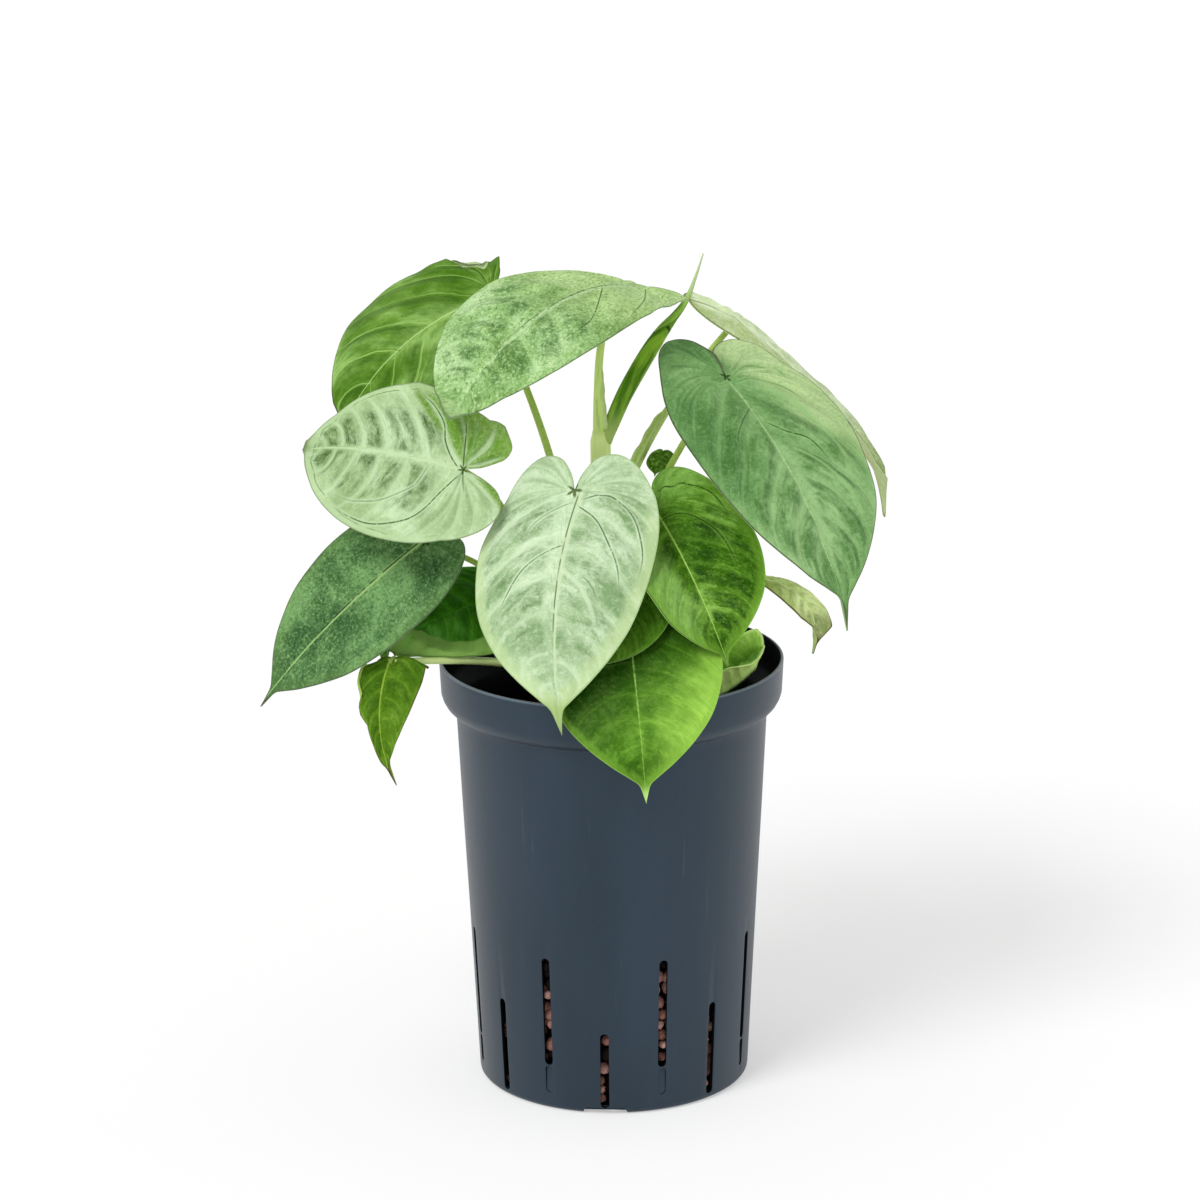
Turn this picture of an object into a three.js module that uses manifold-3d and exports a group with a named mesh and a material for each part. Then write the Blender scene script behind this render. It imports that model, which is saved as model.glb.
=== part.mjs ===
import * as THREE from 'three';
import { mergeVertices } from 'three/addons/utils/BufferGeometryUtils.js';
import Module from 'manifold-3d';

// Heart-leaved syngonium in a slotted culture pot. Millimetres, +Z up.
// The origin is the centre of the pot's underside and -Y is the front.

const wasm = await Module();
wasm.setup();

// Driving dimensions of the pot
const POT_HEIGHT = 190;
const RIM_RADIUS = 75;
const COLLAR_RADIUS = 74.2;
const COLLAR_BOTTOM = 170;
const NECK_RADIUS = 67.8;
const FOOT_RADIUS = 59.5;
const FOOT_ROUNDING = 3;
const WALL = 1.5;
const FLOOR = 1.8;
const POT_SEGMENTS = 48;
const SLOT_COUNT = 15;
const SLOT_WIDTH = 3.8;
const SLOT_CURVE_STEPS = 3;
const FRONT_SLOT_ANGLE = -94;
const SLOT_HEIGHTS = { low: [3, 38], mid: [3, 46], high: [21, 71] };
const SLOT_ORDER = ['low', 'high', 'mid', 'high', 'low', 'high', 'mid', 'high'];
const GROOVE_BOTTOM = 8;
const GROOVE_DEPTH = 0.5;
const NOTCH_COUNT = 3;
const NOTCH_WIDTH = 19;
const NOTCH_HEIGHT = 3;
const DRAIN_COUNT = 6;
const DRAIN_RADIUS = 4;
const DRAIN_CIRCLE = 34;

// Gap kept between pieces that touch, and the level of the clay granules
const GAP = 0.3;
const GRANULE_LEVEL = 158;

// Leaf blades and their stalks
const BLADE_THICKNESS = 0.9;
const MARGIN_THICKNESS = 0.5;
const BLADE_STEPS = 13;
const SMALL_BLADE_STEPS = 9;
const SMALL_BLADE_WIDTH = 30;
const RIB_STEPS = [0, 0.45, 0.8, 1];
const STALK_SIDES = 6;
const STALK_STEPS = 10;
const STALK_SEAT = 1.5;
const STALK_FLARE = 0.5;
const STEM_SIDES = 12;

// The flat heart shape from the sinus to the drip tip:
// x in half widths, y in lengths from the stalk to the tip.
const HEART = [
  [0, 0], [0.06, -0.065], [0.2, -0.125], [0.42, -0.14], [0.64, -0.095], [0.83, 0],
  [0.96, 0.13], [1, 0.27], [0.96, 0.42], [0.83, 0.575], [0.62, 0.7], [0.38, 0.8],
  [0.17, 0.87], [0.07, 0.905], [0.03, 0.95], [0, 1],
];
const LOBE_LENGTH = 0.2;
const FIRST_RIB = 0.16;
const RIB_SWEEP = 1.5;

// Shoots: each a short stem from the granules up to where its last stalk leaves it
const STEMS = {
  left: { foot: [-12, -1, 128], top: [-15, -4, 206], radius: 5 },
  centre: { foot: [-3, 5, 128], top: [-4, 5, 290], radius: 4.4 },
  right: { foot: [11, -3, 128], top: [14, -5, 206], radius: 5 },
};

// Leaves. base and tip are the ends of the midrib; face is the azimuth and elevation that the
// upper side looks to; arch is the midrib's bend, fold the angle of each half at the midrib,
// curl what each half bends further to its margin, [right, left] seen with the tip down.
// The stalk leaves its stem at a height and turns into the blade along arrive.
const LEAVES = {
  upper_left: {
    base: [-50, 60, 338], tip: [-118, 29, 283], face: [-121, 49], width: 91,
    arch: 24, fold: 10, curl: [-20, -39], lobeBend: 19, taper: 0.8, twist: 8, bow: -0.07, skew: -0.07,
    stalk: { stem: 'left', height: 196, lean: 0, rise: 78, arrive: [-0.35, 0.6, 0.72], reach: 45, radius: 1.3 },
  },
  top: {
    base: [10, 8, 352], tip: [-67, -41, 307], face: [-106, 82], width: 89,
    arch: 90, fold: 4, curl: [-15, -27], lobeBend: 34, lobe: 1.26, taper: 0.63, twist: -7, bow: 0.04,
    skew: -0.07,
    stalk: { stem: 'centre', height: 284, lean: 0, rise: 50, arrive: [0.9, 0, 0.45], reach: 10, radius: 1.3 },
  },
  pale_left: {
    base: [-62, -38, 284], tip: [-133, 10, 281], face: [-113, 22], width: 69,
    arch: 44, fold: 12, curl: [-15, -18], lobeBend: 10, lobe: 1.5, taper: 0.93, twist: 8, bow: -0.03,
    skew: 0.1,
    stalk: { stem: 'left', height: 190, rise: 52, arrive: [-0.75, -0.45, 0.45], reach: 30, radius: 1.3 },
  },
  lower_left: {
    base: [-79, -14, 246], tip: [-152, -18, 174], face: [-85, 59], width: 63,
    arch: 24, fold: 9, curl: [-18, -13], lobeBend: 19, lobe: 0.84,
    stalk: { stem: 'left', height: 181, rise: 34, arrive: [-0.95, -0.1, 0.25], reach: 40, radius: 1.2 },
  },
  front: {
    base: [-15, -51, 278], tip: [-21, -97, 185], face: [-105, 25], width: 82,
    arch: 24, fold: 1, curl: [-24, -44], lobeBend: 19, lobe: 1.24, taper: 1.07, twist: -4, bow: -0.06,
    stalk: { stem: 'left', height: 172, rise: 70, reach: 40, radius: 1.3 },
  },
  right: {
    base: [19, -35, 265], tip: [49, -72, 207], face: [-81, 41], width: 58,
    arch: 41, fold: 21, curl: [-14, 0], lobeBend: 11, lobe: 1.5, taper: 0.74, skew: 0.11,
    stalk: { stem: 'right', height: 184, rise: 50, reach: 30, radius: 1.2 },
  },
  right_back: {
    base: [55, 52, 328], tip: [122, 58, 237], face: [-2, 56], width: 70,
    arch: 66, fold: 10, curl: [-41, -29], lobeBend: -10, lobe: 1.23,
    stalk: { stem: 'centre', height: 232, lean: 0.3, rise: 42, arrive: [0.65, 0.5, 0.57], reach: 40, radius: 1.3 },
  },
  right_front: {
    base: [49, -12, 317], tip: [99, -71, 222], face: [-45, 25], width: 86,
    arch: 22, fold: 9, curl: [-13, -34], lobeBend: 5, lobe: 1.3, taper: 1.08, twist: 5, bow: 0.06,
    stalk: { stem: 'centre', height: 215, lean: 0.45, rise: 25, arrive: [0.6, -0.15, 0.8], reach: 40, radius: 1.3 },
  },
  over_rim: {
    base: [7, -59, 223], tip: [14, -100, 156], face: [-87, 27], width: 75,
    arch: 42, fold: 4, curl: [-11, -13], lobeBend: 10, taper: 1.05,
    stalk: { stem: 'right', height: 164, rise: 35, reach: 30, radius: 1.2 },
  },
  inner_front: {
    base: [16, -53, 236], tip: [-11, -80, 207], face: [-96, 47], width: 32,
    arch: 13, fold: 4, curl: [-16, -15], lobeBend: 15, bow: 0.05, skew: -0.06,
    stalk: { stem: 'centre', height: 192, rise: 45, arrive: [0.2, -0.95, -0.1], reach: 25, radius: 1 },
  },
  folded_right: {
    base: [63, -14, 191], tip: [33, -48, 183], face: [152, 72], width: 40,
    arch: -30, fold: 70, curl: [-60, -10], lobeBend: 10,
    stalk: { stem: 'right', height: 163, rise: 25, arrive: [0.9, -0.1, 0.3], reach: 15, radius: 1 },
  },
  small_right: {
    base: [66, 22, 218], tip: [88, -2, 191], face: [-21, 50], width: 28,
    arch: 82, fold: 20, curl: [-46, -44], lobeBend: 8, bow: 0.12,
    stalk: { stem: 'right', height: 172, rise: 35, reach: 20, radius: 1 },
  },
  inner_left: {
    base: [-48, 2, 217], tip: [-100, -25, 200], face: [-100, 53], width: 46,
    arch: 30, fold: 10, curl: [-40, -20], lobeBend: 20,
    stalk: { stem: 'left', height: 166, rise: 34, reach: 22, radius: 1.1 },
  },
  hanging_left: {
    base: [-92, -34, 198], tip: [-91, -50, 148], face: [-100, 22], width: 32,
    arch: 40, fold: 10, curl: [-8, -12], lobeBend: 30, lobe: 0.9, taper: 1.45, bow: -0.09, skew: 0.15,
    stalk: { stem: 'left', height: 172, rise: 22, arrive: [-0.97, -0.2, 0.02], reach: 42, radius: 1.1 },
  },
  young: {
    base: [23, 18, 277], tip: [19, 10, 268], face: [-110, 30], width: 14,
    arch: 60, fold: 5, curl: [-60, -60], lobeBend: 10,
    stalk: { stem: 'right', height: 198, lean: 0, rise: 35, reach: 15, radius: 0.8 },
  },
};

// The newest leaf, still rolled up: its path from the sheath to the tip and its radius along it
const SPEAR_PATH = [
  [0.4, 5, 290.7], [3, 6, 297], [11, 8, 312], [21, 12, 329], [34, 16, 346], [39, 19, 355], [41, 20, 364],
];
const SPEAR_RADII = [1.4, 1.8, 3.2, 4.3, 4.3, 3.8, 3, 2.1, 1.5, 1.1, 0.7, 0.5, 0.3];
const SPEAR_SIDES = 10;

// Colours of the pieces
const POT_COLOUR = 0x3f4d57;
const GRANULE_COLOUR = 0x6e4030;
const STEM_COLOUR = 0x9db35c;
const STALK_COLOUR = 0x93ad55;
const SPEAR_COLOUR = 0x4f8030;
const BLADE_COLOURS = {
  upper_left: 0x5c9a33, top: 0x8db87e, pale_left: 0xa9cf9b, lower_left: 0x4f7f50, front: 0xbcdcb4,
  right: 0x437f1c, right_back: 0xa3c48c, right_front: 0x6f9f6c, over_rim: 0x6fae33,
  inner_front: 0x2f6a1c, folded_right: 0x93c46c, small_right: 0x9cb27a, inner_left: 0x3f7a20,
  hanging_left: 0x5a8f1c, young: 0x3f6a28,
};

const radians = THREE.MathUtils.degToRad;
const vector = (values) => new THREE.Vector3(...values);
const polar = (radius, degrees, z) =>
  new THREE.Vector3(radius * Math.cos(radians(degrees)), radius * Math.sin(radians(degrees)), z);

// Solids: three.js geometry to and from the boolean library
function toSolid(geometry) {
  const bare = geometry.clone();
  bare.deleteAttribute('normal');
  bare.deleteAttribute('uv');
  const merged = mergeVertices(bare, 1e-4);
  const triangles = [];
  const index = merged.index.array;
  for (let i = 0; i < index.length; i += 3) {
    const [a, b, c] = index.slice(i, i + 3);
    if (a !== b && b !== c && c !== a) triangles.push(a, b, c);
  }
  return new wasm.Manifold(new wasm.Mesh({
    numProp: 3,
    vertProperties: new Float32Array(merged.attributes.position.array),
    triVerts: new Uint32Array(triangles),
  }));
}

function toGeometry(solid) {
  const mesh = solid.getMesh();
  const geometry = new THREE.BufferGeometry();
  geometry.setAttribute('position', new THREE.BufferAttribute(mesh.vertProperties, 3));
  geometry.setIndex(new THREE.BufferAttribute(mesh.triVerts, 1));
  return geometry;
}

function piece(name, geometry, colour, roughness) {
  geometry.computeVertexNormals();
  const material = new THREE.MeshStandardMaterial({ color: colour, roughness, metalness: 0 });
  const mesh = new THREE.Mesh(geometry, material);
  mesh.name = name;
  return mesh;
}

// Pot
const outerRadius = (z) => THREE.MathUtils.mapLinear(
  z, FOOT_ROUNDING, COLLAR_BOTTOM - 2, FOOT_RADIUS, NECK_RADIUS,
);
const innerRadius = (z) => THREE.MathUtils.mapLinear(
  z, FLOOR + FOOT_ROUNDING, COLLAR_BOTTOM, FOOT_RADIUS - WALL, NECK_RADIUS - WALL,
);

function potShell() {
  const outer = [
    [FOOT_RADIUS - FOOT_ROUNDING, 0],
    [FOOT_RADIUS - FOOT_ROUNDING * 0.3, FOOT_ROUNDING * 0.3],
    [FOOT_RADIUS, FOOT_ROUNDING],
    [NECK_RADIUS, COLLAR_BOTTOM - 2],
    [NECK_RADIUS + 3.5, COLLAR_BOTTOM],
    [COLLAR_RADIUS, COLLAR_BOTTOM + 5],
    [RIM_RADIUS, POT_HEIGHT],
  ];
  const inner = [
    [RIM_RADIUS - WALL, POT_HEIGHT],
    [COLLAR_RADIUS - WALL, COLLAR_BOTTOM + 6],
    [NECK_RADIUS - WALL, COLLAR_BOTTOM],
    [FOOT_RADIUS - WALL, FLOOR + FOOT_ROUNDING],
    [FOOT_RADIUS - FOOT_ROUNDING, FLOOR],
  ];
  const profile = [[0, 0], ...outer, ...inner, [0, FLOOR]];
  const points = profile.map(([r, z]) => new THREE.Vector2(r, z));
  return new THREE.LatheGeometry(points, POT_SEGMENTS).rotateX(Math.PI / 2);
}

// A bar with round ends, standing upright, that runs outward from startRadius
function radialBar(angle, bottom, top, width, startRadius) {
  const r = width / 2;
  const outline = new THREE.Shape();
  outline.absarc(0, top - r, r, 0, Math.PI);
  outline.absarc(0, bottom + r, r, Math.PI, 2 * Math.PI);
  const bar = new THREE.ExtrudeGeometry(outline, {
    depth: RIM_RADIUS - startRadius, bevelEnabled: false, curveSegments: SLOT_CURVE_STEPS,
  });
  bar.rotateX(Math.PI / 2).rotateZ(Math.PI / 2);
  bar.translate(startRadius, 0, 0).rotateZ(radians(angle));
  return toSolid(bar);
}

function culturePot() {
  let pot = toSolid(potShell());
  for (let i = 0; i < SLOT_COUNT; i += 1) {
    const angle = FRONT_SLOT_ANGLE + (360 / SLOT_COUNT) * i;
    const kind = SLOT_ORDER[Math.min(i, SLOT_COUNT - i)];
    const [bottom, top] = SLOT_HEIGHTS[kind];
    pot = pot.subtract(radialBar(angle, bottom, top, SLOT_WIDTH, FOOT_RADIUS - 12));
    if (kind === 'high') {
      const grooveStart = outerRadius(GROOVE_BOTTOM) - GROOVE_DEPTH;
      pot = pot.subtract(radialBar(angle, GROOVE_BOTTOM, bottom + SLOT_WIDTH, SLOT_WIDTH, grooveStart));
    }
  }
  for (let i = 0; i < NOTCH_COUNT; i += 1) {
    const notch = new THREE.BoxGeometry(12, NOTCH_WIDTH, 2 * NOTCH_HEIGHT);
    notch.translate(FOOT_RADIUS, 0, 0).rotateZ(radians(FRONT_SLOT_ANGLE + (360 / NOTCH_COUNT) * i));
    pot = pot.subtract(toSolid(notch));
  }
  for (let i = 0; i < DRAIN_COUNT; i += 1) {
    const drain = new THREE.CylinderGeometry(DRAIN_RADIUS, DRAIN_RADIUS, 4 * FLOOR, 12);
    const place = polar(DRAIN_CIRCLE, (360 / DRAIN_COUNT) * (i + 0.5), 0);
    drain.rotateX(Math.PI / 2).translate(place.x, place.y, place.z);
    pot = pot.subtract(toSolid(drain));
  }
  return toGeometry(pot);
}

// A tube along a curve with one radius for each of its rings
function tube(curve, radii, sides) {
  const corners = [];
  for (let i = 0; i < sides; i += 1) {
    const turn = (2 * Math.PI * i) / sides;
    corners.push(new THREE.Vector2(Math.cos(turn), Math.sin(turn)));
  }
  const steps = radii.length - 1;
  const geometry = new THREE.ExtrudeGeometry(new THREE.Shape(corners), {
    steps, extrudePath: curve, bevelEnabled: false,
  });
  const centres = curve.getSpacedPoints(steps);
  const position = geometry.attributes.position;
  const point = new THREE.Vector3();
  for (let i = 0; i < position.count; i += 1) {
    point.fromBufferAttribute(position, i);
    const distances = centres.map((centre) => Math.abs(centre.distanceTo(point) - 1));
    const ring = distances.indexOf(Math.min(...distances));
    point.sub(centres[ring]).multiplyScalar(radii[ring]).add(centres[ring]);
    position.setXYZ(i, point.x, point.y, point.z);
  }
  return geometry;
}

function stemSolid(stem, clearance) {
  const foot = vector(stem.foot);
  const top = vector(stem.top);
  const along = top.clone().sub(foot).normalize();
  foot.addScaledVector(along, -clearance);
  top.addScaledVector(along, clearance);
  const radius = stem.radius + clearance;
  return toSolid(tube(new THREE.LineCurve3(foot, top), [radius, radius], STEM_SIDES));
}

// Granules: one bed that fills the pot, with a socket round each stem
function granuleBed(stemSockets) {
  const bottom = FLOOR + GAP;
  const profile = [
    [0, bottom],
    [FOOT_RADIUS - FOOT_ROUNDING - GAP, bottom],
    [innerRadius(bottom + FOOT_ROUNDING) - GAP, bottom + FOOT_ROUNDING],
    [innerRadius(GRANULE_LEVEL) - GAP, GRANULE_LEVEL],
    [0, GRANULE_LEVEL],
  ];
  const points = profile.map(([r, z]) => new THREE.Vector2(r, z));
  let bed = toSolid(new THREE.LatheGeometry(points, POT_SEGMENTS).rotateX(Math.PI / 2));
  for (const socket of stemSockets) bed = bed.subtract(socket);
  return toGeometry(bed);
}

// Distance reached along and above a straight line by an arc that starts at an angle
// and turns at a steady rate
function arc(startAngle, rate, length) {
  if (Math.abs(rate) < 1e-9) return [length * Math.cos(startAngle), length * Math.sin(startAngle)];
  const end = startAngle + rate * length;
  return [(Math.sin(end) - Math.sin(startAngle)) / rate, (Math.cos(startAngle) - Math.cos(end)) / rate];
}

function bladeFrame(leaf) {
  const base = vector(leaf.base);
  const chord = vector(leaf.tip).sub(base);
  const along = chord.clone().normalize();
  const face = polar(Math.cos(radians(leaf.face[1])), leaf.face[0], Math.sin(radians(leaf.face[1])));
  const up = face.addScaledVector(along, -face.dot(along)).normalize();
  const across = new THREE.Vector3().crossVectors(up, along);
  const arch = radians(leaf.arch);
  const length = (chord.length() * (arch / 2)) / Math.sin(arch / 2);
  return { base, along, up, across, arch, length };
}

// A point of the blade's middle surface and its normal there. side is +1 or -1, edge the
// outline point in half widths and lengths, and out runs from 0 at the midrib to 1 at the margin.
function bladePoint(leaf, frame, side, edge, out) {
  const { base, along, up, across, arch, length } = frame;
  const halfWidth = (leaf.width / 2) * (1 + side * (leaf.skew ?? 0));
  const midribEnd = Math.max(0, (edge.y - FIRST_RIB) / (1 - FIRST_RIB));
  const station = midribEnd + (edge.y - midribEnd) * out ** RIB_SWEEP;
  const rate = station < 0 ? -radians(leaf.lobeBend) / (LOBE_LENGTH * length) : -arch / length;
  const [forward, lift] = arc(arch / 2, rate, station * length);
  const slope = arch / 2 + rate * station * length;
  const ribUp = up.clone().multiplyScalar(Math.cos(slope)).addScaledVector(along, -Math.sin(slope));
  const twist = radians(leaf.twist ?? 0) * station;
  const twistedAcross = across.clone().multiplyScalar(Math.cos(twist)).addScaledVector(ribUp, Math.sin(twist));
  const twistedUp = ribUp.multiplyScalar(Math.cos(twist)).addScaledVector(across, -Math.sin(twist));
  const curl = radians(leaf.curl[side > 0 ? 0 : 1]);
  const fold = radians(leaf.fold);
  const reach = edge.x * out * halfWidth;
  const [sideways, raised] = arc(fold, curl / halfWidth, reach);
  const onMidrib = THREE.MathUtils.clamp(station, 0, 1);
  const bow = (leaf.bow ?? 0) * length * 4 * onMidrib * (1 - onMidrib);
  const point = base.clone()
    .addScaledVector(across, bow)
    .addScaledVector(along, forward)
    .addScaledVector(up, lift)
    .addScaledVector(twistedAcross, side * sideways)
    .addScaledVector(twistedUp, raised);
  const tilt = out === 0 ? 0 : fold + (curl / halfWidth) * reach;
  const normal = twistedUp.clone().multiplyScalar(Math.cos(tilt)).addScaledVector(twistedAcross, -side * Math.sin(tilt));
  return { point, normal };
}

function bladeEdges(leaf, frame, steps) {
  const lobe = leaf.lobe ?? 1;
  const points = HEART.map(([x, y]) => new THREE.Vector2(x * leaf.width / 2, (y < 0 ? y * lobe : y) * frame.length));
  return new THREE.SplineCurve(points).getSpacedPoints(steps).map((p) => {
    const y = p.y / frame.length;
    return new THREE.Vector2(Math.max(0, p.x / (leaf.width / 2)), y > 0 ? y ** (leaf.taper ?? 1) : y);
  });
}

// A closed blade: an upper and a lower skin, joined by a narrow margin
function bladeGeometry(leaf, extra = 0) {
  const frame = bladeFrame(leaf);
  const steps = leaf.width < SMALL_BLADE_WIDTH ? SMALL_BLADE_STEPS : BLADE_STEPS;
  const edges = bladeEdges(leaf, frame, steps);
  const corners = [];
  const quad = (a, b, c, d) => corners.push(a, b, c, a, c, d);
  for (const side of [1, -1]) {
    const rows = edges.map((edge, i) => RIB_STEPS.map((step) => {
      const out = i === 0 || i === steps ? 0 : step;
      const { point, normal } = bladePoint(leaf, frame, side, edge, out);
      const half = (THREE.MathUtils.lerp(BLADE_THICKNESS, MARGIN_THICKNESS, out ** 2) + extra) / 2;
      return {
        upper: point.clone().addScaledVector(normal, half),
        lower: point.clone().addScaledVector(normal, -half),
      };
    }));
    for (let i = 0; i < steps; i += 1) {
      for (let j = 0; j < RIB_STEPS.length - 1; j += 1) {
        const [a, b, c, d] = [rows[i][j], rows[i][j + 1], rows[i + 1][j + 1], rows[i + 1][j]];
        if (side > 0) {
          quad(a.upper, d.upper, c.upper, b.upper);
          quad(a.lower, b.lower, c.lower, d.lower);
        } else {
          quad(a.upper, b.upper, c.upper, d.upper);
          quad(a.lower, d.lower, c.lower, b.lower);
        }
      }
      const near = rows[i][RIB_STEPS.length - 1];
      const far = rows[i + 1][RIB_STEPS.length - 1];
      if (side > 0) quad(near.upper, far.upper, far.lower, near.lower);
      else quad(near.upper, near.lower, far.lower, far.upper);
    }
  }
  return new THREE.BufferGeometry().setFromPoints(corners);
}

// Room to leave round a blade: the blade thickened, and the same moved a little past its edges
function bladeClearance(leaf) {
  const { along, across } = bladeFrame(leaf);
  const thick = toSolid(bladeGeometry(leaf, 2 * GAP));
  const moves = [along.clone().negate(), across, across.clone().negate()];
  return [thick, ...moves.map((move) => thick.translate(move.multiplyScalar(GAP).toArray()))];
}

function stalkCurve(leaf) {
  const { stalk } = leaf;
  const stem = STEMS[stalk.stem];
  const { base, along, up } = bladeFrame(leaf);
  const foot = vector(stem.foot);
  const axis = vector(stem.top).sub(foot);
  const onAxis = foot.addScaledVector(axis, (stalk.height - stem.foot[2]) / axis.z);
  const outward = new THREE.Vector3(base.x - onAxis.x, base.y - onAxis.y, 0).normalize();
  const start = onAxis.clone().addScaledVector(outward, (stalk.lean ?? 0.6) * stem.radius);
  const leave = new THREE.Vector3(0, 0, 1).addScaledVector(outward, stalk.lean ?? 0.6).normalize();
  const arrive = stalk.arrive ? vector(stalk.arrive) : up.clone().multiplyScalar(0.75).add(vector([0, 0, 0.6]));
  const end = base.clone().addScaledVector(along, STALK_SEAT).addScaledVector(up, -0.3);
  return new THREE.CubicBezierCurve3(
    start,
    start.clone().addScaledVector(leave, stalk.rise),
    end.clone().addScaledVector(arrive.normalize(), -stalk.reach),
    end,
  );
}

// A stalk widens toward its stem. Cutting can leave a sliver beyond the blade, so the largest body is kept.
function stalkGeometry(leaf, obstacles) {
  const radii = [];
  for (let i = 0; i <= STALK_STEPS; i += 1) {
    radii.push(leaf.stalk.radius * (1 + STALK_FLARE * (1 - i / STALK_STEPS)));
  }
  let stalk = toSolid(tube(stalkCurve(leaf), radii, STALK_SIDES));
  for (const obstacle of obstacles) stalk = stalk.subtract(obstacle);
  const bodies = stalk.decompose().sort((a, b) => b.volume() - a.volume());
  return toGeometry(bodies[0]);
}

function spearGeometry() {
  return tube(new THREE.CatmullRomCurve3(SPEAR_PATH.map(vector)), SPEAR_RADII, SPEAR_SIDES);
}

const plant = new THREE.Group();
plant.add(piece('culture_pot', culturePot(), POT_COLOUR, 0.55));
const sockets = Object.values(STEMS).map((stem) => stemSolid(stem, GAP));
plant.add(piece('clay_granules', granuleBed(sockets), GRANULE_COLOUR, 0.95));
for (const [name, stem] of Object.entries(STEMS)) {
  plant.add(piece(`stem_${name}`, toGeometry(stemSolid(stem, 0)), STEM_COLOUR, 0.6));
}
for (const [name, leaf] of Object.entries(LEAVES)) {
  const cutters = [...sockets, ...bladeClearance(leaf)];
  plant.add(piece(`stalk_${name}`, stalkGeometry(leaf, cutters), STALK_COLOUR, 0.55));
  plant.add(piece(`leaf_${name}`, toGeometry(toSolid(bladeGeometry(leaf))), BLADE_COLOURS[name], 0.6));
}
plant.add(piece('spear_leaf', toGeometry(toSolid(spearGeometry())), SPEAR_COLOUR, 0.5));

export default plant;
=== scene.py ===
import math

import bmesh
import bpy
import numpy as np
from mathutils import Matrix, Vector


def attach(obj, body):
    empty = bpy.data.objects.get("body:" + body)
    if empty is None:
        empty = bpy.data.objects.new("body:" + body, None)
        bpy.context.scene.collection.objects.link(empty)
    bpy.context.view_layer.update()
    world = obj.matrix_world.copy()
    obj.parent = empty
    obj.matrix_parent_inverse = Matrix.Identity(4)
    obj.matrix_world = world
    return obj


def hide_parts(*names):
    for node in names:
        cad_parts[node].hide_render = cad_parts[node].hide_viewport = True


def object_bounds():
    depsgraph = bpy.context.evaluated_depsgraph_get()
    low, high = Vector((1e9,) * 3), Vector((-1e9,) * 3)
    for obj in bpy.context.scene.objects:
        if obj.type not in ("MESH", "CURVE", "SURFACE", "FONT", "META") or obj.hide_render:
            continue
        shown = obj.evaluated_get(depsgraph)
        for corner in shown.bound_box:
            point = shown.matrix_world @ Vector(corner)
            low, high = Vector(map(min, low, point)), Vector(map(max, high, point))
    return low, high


# Heart-leaved syngonium in a slotted culture pot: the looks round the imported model.
# Lengths here are in millimetres and become metres where a mesh is made.

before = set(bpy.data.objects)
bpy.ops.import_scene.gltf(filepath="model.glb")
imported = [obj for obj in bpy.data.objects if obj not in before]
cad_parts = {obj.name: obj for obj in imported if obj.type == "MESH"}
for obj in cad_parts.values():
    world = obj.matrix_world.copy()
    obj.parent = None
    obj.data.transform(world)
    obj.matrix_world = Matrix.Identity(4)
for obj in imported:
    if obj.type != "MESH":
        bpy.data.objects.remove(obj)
cad_low, cad_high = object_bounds()
MM = 0.001
FULL_TURN = 2 * math.pi
INSIDE = 0.05  # how far leaves and stalks stay within the CAD model's box
BOX_LOW, BOX_HIGH = np.array(cad_low) / MM + INSIDE, np.array(cad_high) / MM - INSIDE


# Colours, nodes and pieces

def rgb(code):
    """A colour written as six hexadecimal digits, as the renderer wants it."""
    parts = [int(code[i:i + 2], 16) / 255 for i in (0, 2, 4)]
    return tuple(c / 12.92 if c <= 0.04045 else ((c + 0.055) / 1.055) ** 2.4 for c in parts) + (1.0,)


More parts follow.
